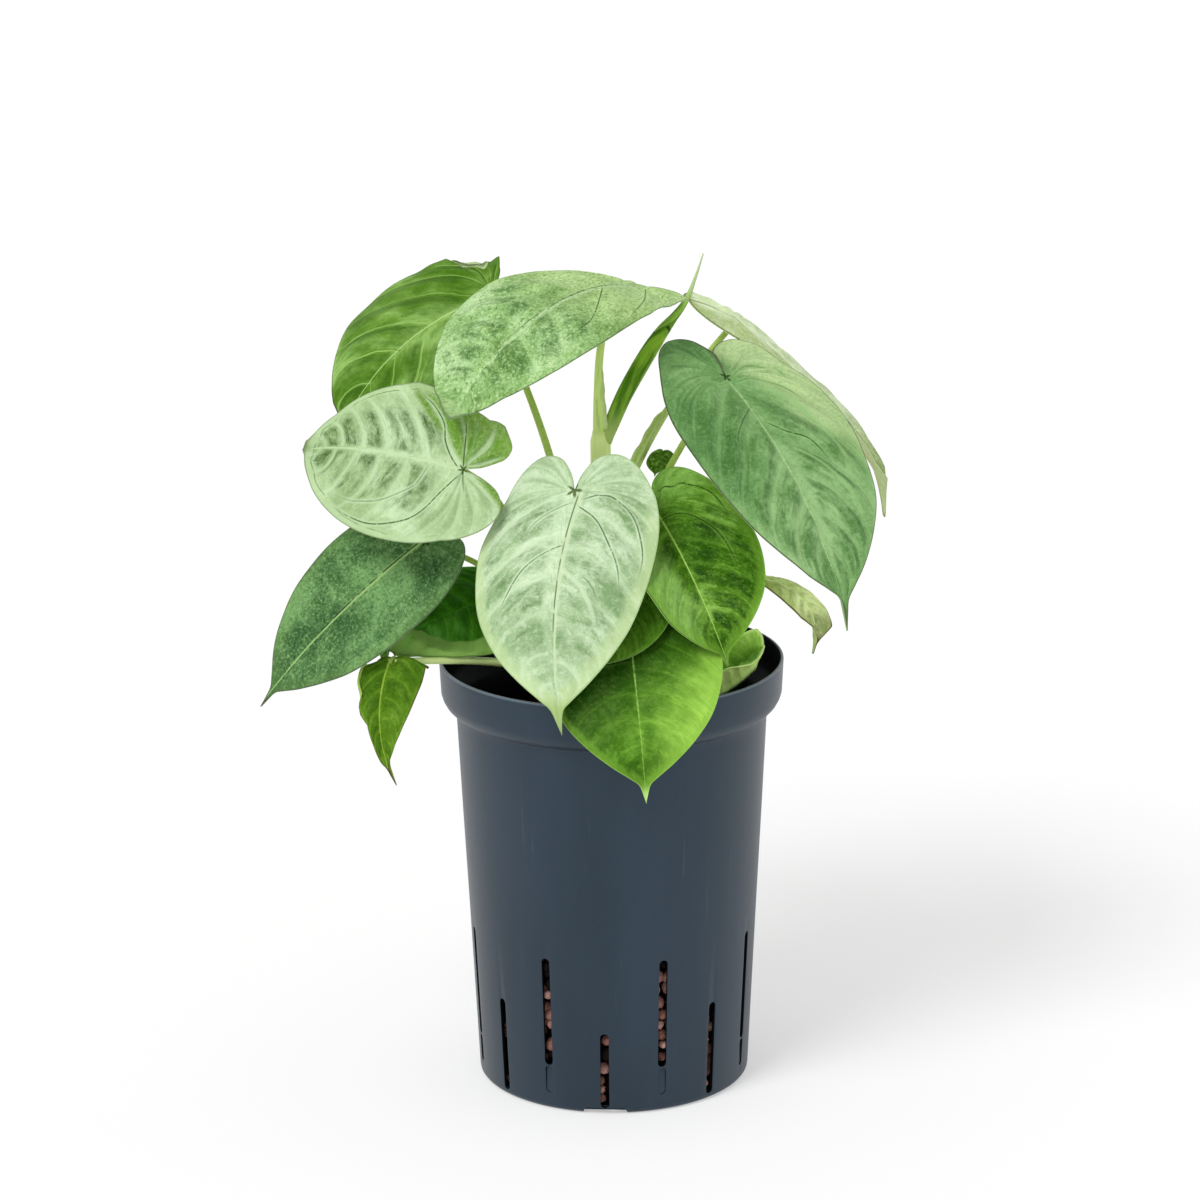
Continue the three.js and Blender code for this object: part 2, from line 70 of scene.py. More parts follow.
class Finish:
    """One node material, short names for its nodes, and body, the colour that is built up in layers."""

    def __init__(self, name, roughness=0.5, specular=0.5):
        self.material = bpy.data.materials.new(name)
        self.material.use_nodes = True
        self.tree = self.material.node_tree
        self.tree.nodes.clear()
        self.shader = self.tree.nodes.new("ShaderNodeBsdfPrincipled")
        output = self.tree.nodes.new("ShaderNodeOutputMaterial")
        self.tree.links.new(self.shader.outputs[0], output.inputs[0])
        self.shade("Roughness", roughness)
        self.shade("Specular IOR Level", specular)
        self.place = self.node("TexCoord").outputs["Object"]

    def set(self, socket, value):
        if isinstance(value, bpy.types.NodeSocket):
            self.tree.links.new(value, socket)
        else:
            socket.default_value = rgb(value) if isinstance(value, str) else value

    def shade(self, socket, value):
        self.set(self.shader.inputs[socket], value)

    def node(self, kind, values=(), **settings):
        made = self.tree.nodes.new("ShaderNode" + kind)
        for key, value in settings.items():
            setattr(made, key, value)
        for socket, value in dict(values).items():
            self.set(made.inputs[socket], value)
        return made

    def math(self, operation, a, b=0.0):
        return self.node("Math", {0: a, 1: b}, operation=operation).outputs[0]

    def plus(self, a, b):
        return self.math("ADD", a, b)

    def less(self, a, b):
        return self.math("SUBTRACT", a, b)

    def size(self, value):
        return self.math("ABSOLUTE", value)

    def times(self, *values):
        result = values[0]
        for value in values[1:]:
            result = self.math("MULTIPLY", result, value)
        return result

    def swing(self, noise, amount):
        """A noise that goes amount / 2 either way round 0."""
        return self.times(self.less(noise, 0.5), amount)

    def step(self, value, low, high):
        """0 up to low and 1 from high on, or 1 down to 0 where low is above high."""
        ends = (low, high, 0.0, 1.0) if low < high else (high, low, 1.0, 0.0)
        sockets = dict(zip(("From Min", "From Max", "To Min", "To Max"), ends))
        return self.node("MapRange", {"Value": value, **sockets}, interpolation_type="SMOOTHSTEP").outputs[0]

    def mix(self, share, a, b, blend="MIX"):
        return self.node("Mix", {0: share, 6: a, 7: b}, data_type="RGBA", blend_type=blend).outputs[2]

    def lay(self, colour, *shares):
        """A layer of colour over the body, as strong as the shares multiplied."""
        self.body = self.mix(self.times(*shares), self.body, colour)

    def noise(self, vector, scale, detail=2.0, roughness=0.5, distortion=0.0):
        values = {"Vector": vector, "Scale": scale, "Detail": detail, "Roughness": roughness,
                  "Distortion": distortion}
        return self.node("TexNoise", values).outputs[0]

    def lengthwise(self, squeeze, scale, *rest):
        """A noise drawn out along the vertical."""
        stretched = self.node("Mapping", {"Vector": self.place, "Scale": (1, 1, squeeze)}).outputs[0]
        return self.noise(stretched, scale, *rest)

    def join(self, x, y, z=0.0):
        return self.node("CombineXYZ", {0: x, 1: y, 2: z}).outputs[0]

    def parts(self, vector):
        return self.node("SeparateXYZ", {0: vector}).outputs[:3]

    def read(self, name):
        """The three numbers that a mesh attribute holds."""
        return self.parts(self.node("Attribute", attribute_name=name).outputs["Vector"])

    def done(self, height, distance, strength):
        """The material, with its body and a bump: height, and distance in mm."""
        made = self.node("Bump", {"Height": height, "Distance": distance * MM, "Strength": strength})
        self.shade("Normal", made.outputs[0])
        self.shade("Base Color", self.body)
        return self.material


def new_mesh(name, points, faces):
    mesh = bpy.data.meshes.new(name)
    mesh.from_pydata((np.asarray(points, float) * MM).tolist(), [], [list(map(int, f)) for f in faces])
    piece = bpy.data.objects.new(name, mesh)
    bpy.context.scene.collection.objects.link(piece)
    return piece


def mesh_piece(name, node, points, faces, material, attributes=()):
    """A smooth piece in a CAD node's place. An attribute has three numbers for each point."""
    piece = new_mesh(name, points, faces)
    piece.data.polygons.foreach_set("use_smooth", [True] * len(faces))
    for key, values in dict(attributes).items():
        data = piece.data.attributes.new(key, "FLOAT_VECTOR", "POINT").data
        data.foreach_set("vector", np.asarray(values, np.float32).ravel())
    piece.data.materials.append(material)
    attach(piece, "root")
    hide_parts(node)
    return piece


def smooth(values, low, high):
    t = np.clip((np.asarray(values, float) - low) / (high - low), 0, 1)
    return t * t * (3 - 2 * t)


def bump_at(values, width):
    """1 where values are 0, and nearly 0 from two widths on."""
    return np.exp(-(values / width)**2)


def unit(vector):
    vector = np.asarray(vector, float)
    return vector / np.linalg.norm(vector)


def corners(sides):
    """Angles at even distances round a ring."""
    return np.linspace(0, FULL_TURN, sides, endpoint=False)


# Leaf shapes, as in the CAD

BLADE_THICKNESS, MARGIN_THICKNESS = 0.9, 0.5
HEART = [
    (0, 0), (0.06, -0.065), (0.2, -0.125), (0.42, -0.14), (0.64, -0.095), (0.83, 0),
    (0.96, 0.13), (1, 0.27), (0.96, 0.42), (0.83, 0.575), (0.62, 0.7), (0.38, 0.8),
    (0.17, 0.87), (0.07, 0.905), (0.03, 0.95), (0, 1),
]
LOBE_LENGTH, FIRST_RIB, RIB_SWEEP = 0.2, 0.16, 1.5
STALK_SEAT, STALK_FLARE = 1.5, 0.5
WAVE = 0.5  # how far a margin rises and falls
FULL_SIZE = 90  # the width of a full-grown blade, which the finest grid and the highest wave are for

STEMS = {
    "left": {"foot": (-12, -1, 128), "top": (-15, -4, 206), "radius": 5},
    "centre": {"foot": (-3, 5, 128), "top": (-4, 5, 290), "radius": 4.4},
    "right": {"foot": (11, -3, 128), "top": (14, -5, 206), "radius": 5},
}

# What a leaf and its stalk are where LEAVES says nothing else. lobe to skew are the CAD's.
# veins are where the side veins end along the outline, from 0 at the sinus to 1 at the tip, and
# sweep turns them toward the tip; quilt is how far the blade bulges between them. rib_bow and
# rib_shift move the midrib aside, in mm. lips are stretches of margin that roll over: side, from,
# to, width and angle. pull moves the margins, -1 and 1, over the outline's share, and 0, the
# middle, over y: share, then mm in x and z. drawn are single veins that stand out: dark, pale,
# then x in half widths and y in lengths along each.
PLAIN_LEAF = dict(
    lobe=1, taper=1, twist=0, bow=0, skew=0, quilt=0.45, sweep=0, rib_bow=0, rib_shift=0,
    veins=(0.05, 0.12, 0.2, 0.28, 0.36, 0.445, 0.535, 0.625, 0.715, 0.8, 0.88), lips=(), pull={}, drawn=(),
)
# foot thickens the stalk over flare of its length; its sheath reaches that share of it, with wings
# so many radii high on the side wing_side; tone below 0 is paler.
PLAIN_STALK = dict(lean=0.6, foot=0, flare=0.18, sheath=0.4, wings=1, wing_side=1, tone=0)

LEAVES = {
    "upper_left": dict(
        base=(-50, 60, 338), tip=(-118, 29, 283), face=(-121, 49), width=91, arch=24, fold=10,
        curl=(-20, -39), lobeBend=19, taper=0.8, twist=8, bow=-0.07, skew=-0.07, rib_bow=-2.5,
        veins=(0.05, 0.12, 0.21, 0.31, 0.42, 0.54, 0.66, 0.78, 0.9), sweep=0.14,
        lips=[(-1, 0.15, 0.29, 5, 250)],
        pull={
            -1: [
                (0.02, 0, 0), (0.05, -2.1, 0), (0.1, -1.3, 0.5), (0.13, 0.5, 3.2), (0.15, -1.3, -0.8),
                (0.18, -0.5, -5.2), (0.2, -1.8, -3.6), (0.225, 0, -4.4), (0.26, -1.2, -5), (0.28, 0, -2),
                (0.3, 0, 1), (0.325, 0, 1), (0.35, 0, -0.4), (0.4, 0, -0.4), (0.5, 0, -0.6), (0.6, 0, 0),
                (0.7, 0, 0), (0.75, -0.4, 0), (0.8, -1.3, 0), (0.85, -2, 0), (0.9, -2.4, 0), (0.95, -1.5, 0),
                (1, 0, 0),
            ],
        },
        stalk=dict(
            stem="left", height=196, lean=0, rise=78, arrive=(-0.26, 0.6, 0.72), reach=45, radius=1.3,
            sheath=0.42, wings=1.2,
        ),
    ),
    "top": dict(
        base=(10, 8, 352), tip=(-67, -41, 307), face=(-106, 82), width=89, arch=90, fold=4, curl=(-15, -27),
        lobeBend=-8, lobe=1.26, taper=0.63, twist=-7, bow=0.04, skew=-0.07, quilt=0.8, rib_bow=4,
        pull={
            -1: [
                (0, 0, 0), (0.05, 0, -1.2), (0.1, 0, -1.8), (0.15, 0, -1), (0.2, 0, -0.3), (0.25, 0, -1),
                (0.3, 0, -1.4), (0.35, 0, 0), (0.4, 0, 1.2), (0.45, 0, 1), (0.5, 0, 0), (0.7, 0, 0),
                (0.75, -0.4, 0), (0.8, -1.3, 0), (0.85, -3.2, 0), (0.9, -5.2, 0), (0.95, -5, 0),
                (0.98, -3.2, -0.5), (1, -0.8, -0.7),
            ],
            1: [
                (0, 0, 0), (0.05, 0, 1.6), (0.1, 0, 1.5), (0.15, -1.9, 1.4), (0.2, -4, 2.6),
                (0.25, -4.3, 3.8), (0.3, -3.4, 3), (0.35, 0, 0.5), (0.4, 0, 0), (0.6, 0, 0.6), (0.65, 0, 0.7),
                (0.75, 0, -0.4), (0.8, 0, -1), (0.85, 0, -3.3), (0.9, 0, -5), (0.95, 0, -4), (0.98, 0, -1.6),
                (1, -0.8, -0.7),
            ],
        },
        drawn=[
            (0.9, 0.2, [(0.11, 0.19), (0.38, 0.29), (0.56, 0.38), (0.66, 0.5)]),
            (0.8, 0.2, [(0.08, -0.04), (0.36, 0.05), (0.63, 0.15), (0.85, 0.3)]),
        ],
        stalk=dict(
            stem="centre", height=284, lean=-0.06, rise=50, arrive=(0.9, 0, 0.45), reach=10, radius=1.3,
            foot=0.9, flare=0.12, sheath=0.27, wings=1.5, wing_side=-1,
        ),
    ),
    "pale_left": dict(
        base=(-62, -38, 284), tip=(-133, 10, 281), face=(-113, 22), width=69, arch=44, fold=12,
        curl=(-15, -18), lobeBend=10, lobe=1.5, taper=0.93, twist=8, bow=-0.03, skew=0.1, quilt=0.9,
        pull={
            -1: [
                (0.05, 0, 0.5), (0.1, 0, 1), (0.15, 0, 0), (0.2, 0.9, -0.5), (0.225, 0.8, 2.6), (0.25, 0, 2),
                (0.275, 0, 0.2), (0.3, 0, 0.5), (0.4, 0, 0), (0.5, 0, 1), (0.55, 0, -0.7), (0.6, 0, -1.3),
                (0.7, 0, -1.7), (0.8, 0, -1.3), (0.85, -0.5, -0.4), (0.9, -1.2, 0.4), (0.95, -2.2, 1.9),
                (1, 0, 0),
            ],
            1: [
                (0.3, 0, 0), (0.35, 0, 0.9), (0.5, 0, 0.7), (0.6, 0, 0.4), (0.7, 0, 0.3), (0.75, -0.7, 0),
                (0.8, -1.4, 0), (0.85, -1.6, 0), (0.9, -2.4, 0), (0.95, -2.3, 0), (1, 0, 0),
            ],
        },
        drawn=[
            (0.9, 0.2, [(0, 0), (-0.35, 0.01), (-0.66, 0.02)]),
            (0.9, 0.7, [(0, 0.02), (-0.12, 0.07), (-0.3, 0.11), (-0.49, 0.13), (-0.68, 0.2), (-0.8, 0.3)]),
            (
                0.9, 0.7,
                [
                    (0.04, 0), (0.37, 0.09), (0.62, 0.15), (0.8, 0.23), (0.93, 0.37), (0.89, 0.51),
                    (0.73, 0.67),
                ],
            ),
            (0.5, 0.8, [(0.04, 0.17), (0.34, 0.21), (0.52, 0.31), (0.66, 0.43), (0.67, 0.56), (0.6, 0.66)]),
            (0.7, 0.1, [(0, 0), (0.13, -0.01), (0.3, -0.03)]),
        ],
        stalk=dict(stem="left", height=190, rise=52, arrive=(-0.75, -0.45, 0.45), reach=30, radius=1.3),
    ),
    "lower_left": dict(
        base=(-79, -14, 246), tip=(-152, -18, 174), face=(-85, 59), width=63, arch=24, fold=9,
        curl=(-18, -13), lobeBend=19, lobe=0.84, quilt=0.5, rib_shift=-1.5,
        stalk=dict(stem="left", height=181, rise=34, arrive=(-0.95, -0.1, 0.25), reach=40, radius=1.2),
    ),
    "front": dict(
        base=(-15, -51, 278), tip=(-21, -97, 185), face=(-105, 25), width=82, arch=24, fold=1,
        curl=(-24, -44), lobeBend=19, lobe=1.24, taper=1.07, twist=-4, bow=-0.06, quilt=0.9, rib_shift=2.8,
        drawn=[
            (0.9, 0.7, [(0.09, 0.04), (0.38, 0.02), (0.65, 0.09), (0.8, 0.18), (0.88, 0.28), (0.84, 0.4)]),
            (0.9, 0.7, [(0.06, 0.06), (0.31, 0.12), (0.5, 0.22), (0.64, 0.32), (0.7, 0.44)]),
            (0.6, 0.8, [(0.03, 0.05), (-0.12, 0.08), (-0.31, 0.14), (-0.4, 0.2)]),
            (0.8, 0.8, [(0.06, 0.23), (-0.1, 0.26), (-0.35, 0.34), (-0.53, 0.45), (-0.58, 0.55)]),
            (0.6, 0.2, [(0.3, 0.36), (0.38, 0.39), (0.43, 0.42), (0.47, 0.46)]),
            (0, 0.7, [(0.06, 0.33), (0.28, 0.4), (0.42, 0.5), (0.48, 0.6)]),
        ],
        stalk=dict(stem="left", height=172, rise=70, reach=40, radius=1.3),
    ),
    "right": dict(
        base=(19, -35, 265), tip=(49, -72, 207), face=(-81, 41), width=58, arch=41, fold=21, curl=(-14, 0),
        lobeBend=11, lobe=1.5, taper=0.74, skew=0.11, quilt=0.7, sweep=0.08,
        drawn=[
            (0.9, 0.2, [(0.15, -0.11), (0.6, -0.04), (0.84, 0.1), (0.9, 0.27)]),
            (0.9, 0.3, [(-0.05, 0.08), (0.29, 0.1), (0.52, 0.21), (0.66, 0.36), (0.66, 0.56)]),
        ],
        stalk=dict(stem="right", height=184, rise=50, reach=30, radius=1.2),
    ),
    "right_back": dict(
        base=(55, 52, 328), tip=(122, 58, 237), face=(-2, 56), width=70, arch=66, fold=10, curl=(-41, -29),
        lobeBend=-10, lobe=1.23,
        pull={
            0: [(0, 0, 0), (0.15, 0, -6.5), (0.35, -1, -11.5), (0.6, -1, -9.5), (0.8, 0, -2), (1, 0, 0)],
            1: [
                (0, 0, 0), (0.05, -1, -1), (0.1, -3.8, -0.9), (0.15, -3.2, -1.8), (0.2, -2, 1),
                (0.25, -1.8, -1), (0.35, 0, -4.5), (0.5, 0, -5.5), (0.55, 0, -5), (0.8, 0, 0), (0.85, 1.9, 0),
                (0.9, 2.9, 0), (0.95, 3.1, 0), (1, 0.4, -1),
            ],
            -1: [
                (0, 0, 0), (0.05, -1, 1.5), (0.1, -4.5, 2.2), (0.15, -1.5, 1), (0.2, 0, 0), (0.8, 0, 0),
                (0.85, 1.5, 0), (0.9, 2.4, 0), (0.95, 2.6, 0), (1, 0.4, -1),
            ],
        },
        drawn=[
            (0.6, 0.2, [(-0.12, 0.02), (-0.2, 0.22), (-0.2, 0.5), (-0.1, 0.8)]),
            (0.5, 0.6, [(0.1, 0.02), (0.4, 0.05), (0.66, 0.18), (0.8, 0.4)]),
        ],
        stalk=dict(
            stem="centre", height=232, lean=0.3, rise=42, arrive=(0.65, 0.5, 0.57), reach=40, radius=1.3,
            sheath=0.56, wings=2.2, tone=-0.4,
        ),
    ),
    "right_front": dict(
        base=(49, -12, 317), tip=(99, -71, 222), face=(-45, 25), width=86, arch=22, fold=9, curl=(-13, -34),
        lobeBend=5, lobe=1.3, taper=1.08, twist=5, bow=0.06, quilt=0.9, rib_bow=-2.6, sweep=0.08,
        pull={
            -1: [
                (0, 0, 0), (0.03, 1.5, 2), (0.05, 2.4, 2.9), (0.1, 1.4, 1.8), (0.15, 0, 0), (0.2, -0.8, 0),
                (0.25, 0, 0), (0.85, 0, 0.3), (0.9, 0, 1.6), (0.95, 0.9, 2), (1, 0, 0),
            ],
            1: [
                (0, 0, 0), (0.05, -1.4, 1.5), (0.1, -0.7, -3.9), (0.15, 0.7, -3.9), (0.2, 1.4, -2.5),
                (0.25, 0, 0),
            ],
        },
        drawn=[
            (0.9, 0.3, [(0.03, 0.21), (0.18, 0.26), (0.38, 0.31), (0.5, 0.41)]),
            (0, 0.8, [(0.24, 0.07), (0.45, 0.13), (0.58, 0.23), (0.68, 0.35), (0.64, 0.48)]),
            (0, 0.8, [(0.1, 0.32), (0.3, 0.38), (0.48, 0.5), (0.52, 0.6)]),
            (0.5, 0.6, [(0.04, 0.03), (0.3, 0.04), (0.55, 0.09), (0.7, 0.18)]),
            (0.7, 0.2, [(-0.03, 0.14), (-0.27, 0.19), (-0.47, 0.25), (-0.52, 0.31)]),
            (0.3, 0.6, [(0.03, 0.02), (-0.2, 0.03), (-0.36, -0.02)]),
            (0.4, 0.6, [(0.05, 0.01), (0.28, -0.02), (0.55, 0), (0.75, 0.08)]),
        ],
        stalk=dict(
            stem="centre", height=215, lean=0.45, rise=25, arrive=(0.6, -0.15, 0.8), reach=40, radius=1.3,
        ),
    ),
    "over_rim": dict(
        base=(7, -59, 223), tip=(14, -100, 156), face=(-87, 27), width=75, arch=42, fold=4, curl=(-11, -13),
        lobeBend=10, taper=1.05, stalk=dict(stem="right", height=164, rise=35, reach=30, radius=1.2),
    ),
    "inner_front": dict(
        base=(16, -53, 236), tip=(-11, -80, 207), face=(-96, 47), width=32, arch=13, fold=4, curl=(-16, -15),
        lobeBend=15, bow=0.05, skew=-0.06,
        stalk=dict(stem="centre", height=192, rise=45, arrive=(0.2, -0.95, -0.1), reach=25, radius=1),
    ),
    "folded_right": dict(
        base=(63, -14, 191), tip=(33, -48, 183), face=(152, 72), width=40, arch=-30, fold=70, curl=(-60, -10),
        lobeBend=10,
        pull={
            1: [
                (0, 0, 0), (0.1, -0.5, -2), (0.2, -0.9, -4.2), (0.3, -0.3, -6.3), (0.4, 0.3, -5.6),
                (0.5, 0.5, -5), (0.6, 0.5, -2.5), (0.7, 0, 0),
            ],
            -1: [
                (0, 0, 0), (0.1, 2.5, 0.5), (0.15, 4, 2), (0.2, 4.9, 3), (0.3, 4.5, 0), (0.5, 1, 0),
                (0.7, 0, 0),
            ],
        },
        stalk=dict(stem="right", height=163, rise=25, arrive=(0.9, -0.1, 0.3), reach=15, radius=1),
    ),
    "small_right": dict(
        base=(66, 22, 218), tip=(88, -2, 191), face=(-21, 50), width=28, arch=82, fold=20, curl=(-46, -44),
        lobeBend=8, bow=0.12,
        pull={
            1: [(0.5, 0, -0.5), (0.6, 0.7, -0.7), (0.7, 1.2, 0), (0.8, 2.5, 0), (0.85, 1, 0), (0.9, 0, 0)],
            -1: [
                (0.4, 0, 0), (0.5, 0, -1), (0.6, 0, -1.4), (0.7, 0.3, -1.3), (0.8, 2, 0), (0.9, 1.2, 0),
                (1, 0, 0),
            ],
        },
        stalk=dict(stem="right", height=172, rise=35, reach=20, radius=1),
    ),
    "inner_left": dict(
        base=(-48, 2, 217), tip=(-100, -25, 200), face=(-100, 53), width=46, arch=30, fold=10,
        curl=(-40, -20), lobeBend=20, lips=[(1, 0.24, 0.95, 12, 210)],
        pull={
            1: [
                (0.15, 0, 0), (0.25, 0, -9), (0.35, 0, -17), (0.5, 0, -18.8), (0.6, 0, -17.8),
                (0.7, 0, -17.8), (0.8, -1, -19.4), (0.85, -2.4, -20.7), (0.9, -3.5, -21), (0.95, -2, -9),
                (1, 0, 0),
            ],
        },
        stalk=dict(stem="left", height=166, rise=34, reach=22, radius=1.1),
    ),
    "hanging_left": dict(
        base=(-93, -34, 200), tip=(-91, -50, 148), face=(-100, 22), width=32, arch=40, fold=10,
        curl=(-8, -12), lobeBend=30, lobe=0.9, taper=1.45, bow=-0.09, skew=0.15, rib_shift=-1.4,
        lips=[(-1, 0.3, 0.62, 3, 240)],
        pull={
            -1: [
                (0, 0, 0), (0.05, 0, -7), (0.2, 0, -7), (0.3, 0, -3), (0.4, -1.5, 0), (0.5, -1, 0),
                (0.6, 1.8, 0), (0.65, 1.8, 0), (0.7, 3.4, 0), (0.8, 1.5, 0), (0.9, -1.5, 0), (1, -1.4, 0),
            ],
            0: [(0, 0, 0), (0.9, -1, 0), (1, -1.4, 0)],
            1: [
                (0, 0, 0), (0.05, 0, -7), (0.2, 0, -8.2), (0.3, -0.6, -4.6), (0.35, -1.2, -2), (0.4, -2, 0),
                (0.5, -2, 0), (0.7, -3.8, 0), (0.8, -4.3, 0), (0.9, -3.6, 0), (1, -1.4, 0),
            ],
        },
        stalk=dict(
            stem="left", height=172, rise=22, arrive=(-0.97, -0.2, 0.02), reach=42, radius=1.5, tone=-1,
        ),
    ),
    "young": dict(
        base=(23, 18, 277), tip=(19, 10, 268), face=(-110, 30), width=14, arch=60, fold=5, curl=(-60, -60),
        lobeBend=10, stalk=dict(stem="right", height=198, lean=0, rise=35, reach=15, radius=0.8),
    ),
}
for entry in LEAVES.values():
    entry.update({**PLAIN_LEAF, **entry})
    entry["stalk"] = {**PLAIN_STALK, **entry["stalk"]}


def curve_through(points, count):
    """Points at even distances along a Catmull-Rom curve."""
    p = np.asarray(points, float)
    last = len(p) - 1
    t = np.linspace(0, last, 200 * last + 1)
    k = np.minimum(t.astype(int), last - 1)
    w = (t - k)[:, None]
    a, b, c, d = p[np.maximum(k - 1, 0)], p[k], p[k + 1], p[np.minimum(k + 2, last)]
    v, u = (c - a) / 2, (d - b) / 2
    dense = (2 * b - 2 * c + v + u) * w**3 + (3 * c - 3 * b - 2 * v - u) * w**2 + v * w + b
    run = np.concatenate([[0], np.cumsum(np.linalg.norm(np.diff(dense, axis=0), axis=1))])
    even = np.linspace(0, run[-1], count + 1)
    return np.stack([np.interp(even, run, dense[:, i]) for i in range(p.shape[1])], 1)


def arc(start, rate, length):
    rate = np.where(np.abs(rate) < 1e-9, 1e-9, rate)
    end = start + rate * length
    return (np.sin(end) - np.sin(start)) / rate, (np.cos(start) - np.cos(end)) / rate


def blade_frame(leaf):
    base, tip = np.array(leaf["base"], float), np.array(leaf["tip"], float)
    chord = tip - base
    along = unit(chord)
    azimuth, height = map(math.radians, leaf["face"])
    level = math.cos(height)
    face = np.array([level * math.cos(azimuth), level * math.sin(azimuth), math.sin(height)])
    up = unit(face - face.dot(along) * along)
    arch = math.radians(leaf["arch"])
    length = np.linalg.norm(chord) * (arch / 2) / math.sin(arch / 2)
    return base, along, up, np.cross(up, along), arch, length


def blade_outline(leaf, length, steps):
    """The outline's points in half widths and lengths."""
    half = leaf["width"] / 2
    heart = [(x * half, (y * leaf["lobe"] if y < 0 else y) * length) for x, y in HEART]
    edge = curve_through(heart, steps)
    x, y = np.maximum(0, edge[:, 0] / half), edge[:, 1] / length
    return x, np.where(y > 0, np.abs(y) ** leaf["taper"], y)


def blade_surface(leaf, side, x, y, out):
    """Middle surface, normal and flat place of a blade at outline points (x, y) and shares out."""
    base, along, up, across, arch, length = blade_frame(leaf)
    half = leaf["width"] / 2 * (1 + side * leaf["skew"])
    start = np.maximum(0, (y - FIRST_RIB) / (1 - FIRST_RIB))
    station = start + (y - start) * out**RIB_SWEEP
    rate = np.where(station < 0, -math.radians(leaf["lobeBend"]) / (LOBE_LENGTH * length), -arch / length)
    forward, lift = arc(arch / 2, rate, station * length)
    slope = (arch / 2 + rate * station * length)[..., None]
    rib_up = up * np.cos(slope) - along * np.sin(slope)
    twist = (math.radians(leaf["twist"]) * station)[..., None]
    turned_across = across * np.cos(twist) + rib_up * np.sin(twist)
    turned_up = rib_up * np.cos(twist) - across * np.sin(twist)
    curl, fold = math.radians(leaf["curl"][0 if side > 0 else 1]), math.radians(leaf["fold"])
    reach = x * out * half
    sideways, raised = arc(fold, curl / half, reach)
    on_rib = np.clip(station, 0, 1)
    bow = leaf["bow"] * length * 4 * on_rib * (1 - on_rib)
    point = (base + across * bow[..., None] + along * forward[..., None] + up * lift[..., None]
             + turned_across * (side * sideways)[..., None] + turned_up * raised[..., None])
    tilt = np.where(out == 0, 0, fold + curl / half * reach)[..., None]
    normal = turned_up * np.cos(tilt) - turned_across * side * np.sin(tilt)
    return point, normal, side * reach, station * length


def distance_to_line(px, py, line):
    """Distance from flat points to an open line of points, its sign and the share along the line."""
    a, b = line[:-1], line[1:]
    ab = b - a
    ap = np.stack([px, py], -1)[..., None, :] - a
    t = np.clip((ap * ab).sum(-1) / np.maximum((ab**2).sum(-1), 1e-9), 0, 1)
    distance = np.sqrt(((ap - t[..., None] * ab)**2).sum(-1))
    nearest = distance.argmin(-1)[..., None]
    cross = ab[:, 0] * ap[..., 1] - ab[:, 1] * ap[..., 0]
    best, turn, t = (np.take_along_axis(values, nearest, -1)[..., 0] for values in (distance, cross, t))
    return best, np.where(turn < 0, -1, 1), (nearest[..., 0] + t) / len(a)


def vein_numbers(leaf, rng, side, share, outs):
    """Which side vein each place is at, counted from the sinus, and how strong that one is."""
    veins = leaf["veins"]
    shift = rng.uniform(-0.012, 0.012, len(veins)) + (0.012 if side > 0 else -0.012)
    knots = np.concatenate([[0], np.sort(np.array(veins) + shift), [1]])
    bent = 0.07 * outs**2.5 * smooth(share, 0, 0.3)
    swept = leaf["sweep"] * (1 - outs) * smooth(share, 0.1, 0.45)
    numbers = [0.35, *range(1, len(veins) + 1), len(veins) + 0.65]
    vein = np.interp(np.clip(share - bent + swept, 0, 1), knots, numbers)
    strength = np.clip(rng.normal(0.75, 0.3, len(veins) + 2), 0.2, 1.2)
    return vein, strength[np.clip(np.round(vein), 0, len(veins) + 1).astype(int)]


def vein_pitch(flat_x, flat_y, vein):
    """How many mm there are from one side vein to the next."""
    by_row = [np.gradient(g, axis=0) for g in (flat_x, flat_y, vein)]
    by_column = [np.gradient(g, axis=1) for g in (flat_x, flat_y, vein)]
    area = by_row[0] * by_column[1] - by_row[1] * by_column[0]
    area = np.where(np.abs(area) < 1e-4, 1e-4, area)
    gx = (by_row[2] * by_column[1] - by_column[2] * by_row[1]) / area
    gy = (by_column[2] * by_row[0] - by_row[2] * by_column[0]) / area
    return np.clip(1 / np.maximum(np.hypot(gx, gy), 1e-3), 0.05, 40)


def pulled(point, leaf, key, at, share):
    """Points moved by a leaf's pull, as far as share says."""
    knots = np.array(leaf["pull"].get(key, [(0, 0, 0)]), float)
    aside, raised = (np.interp(at, knots[:, 0], knots[:, k]) * share for k in (1, 2))
    return point + np.stack([aside, 0 * aside, raised], -1)


def roll(point, normal, margin, share, start, end, width, angle):
    """A stretch of margin rolled over, and how far each place has turned."""
    inward = point[:, -1:] - point[:, -2:-1]
    inward = inward / np.maximum(np.linalg.norm(inward, axis=-1, keepdims=True), 1e-6)
    window = smooth(share, start, start + 0.05) * (1 - smooth(share, end - 0.05, end))
    ring = width / np.maximum(math.radians(angle) * window, 1e-3)
    past = np.clip(width - margin, 0, None)
    turned = past / ring
    cos, sin = np.cos(turned)[..., None], np.sin(turned)[..., None]
    point = point + inward * (ring[..., None] * sin - past[..., None]) + normal * ring[..., None] * (1 - cos)
    return point, normal * cos - inward * sin, turned


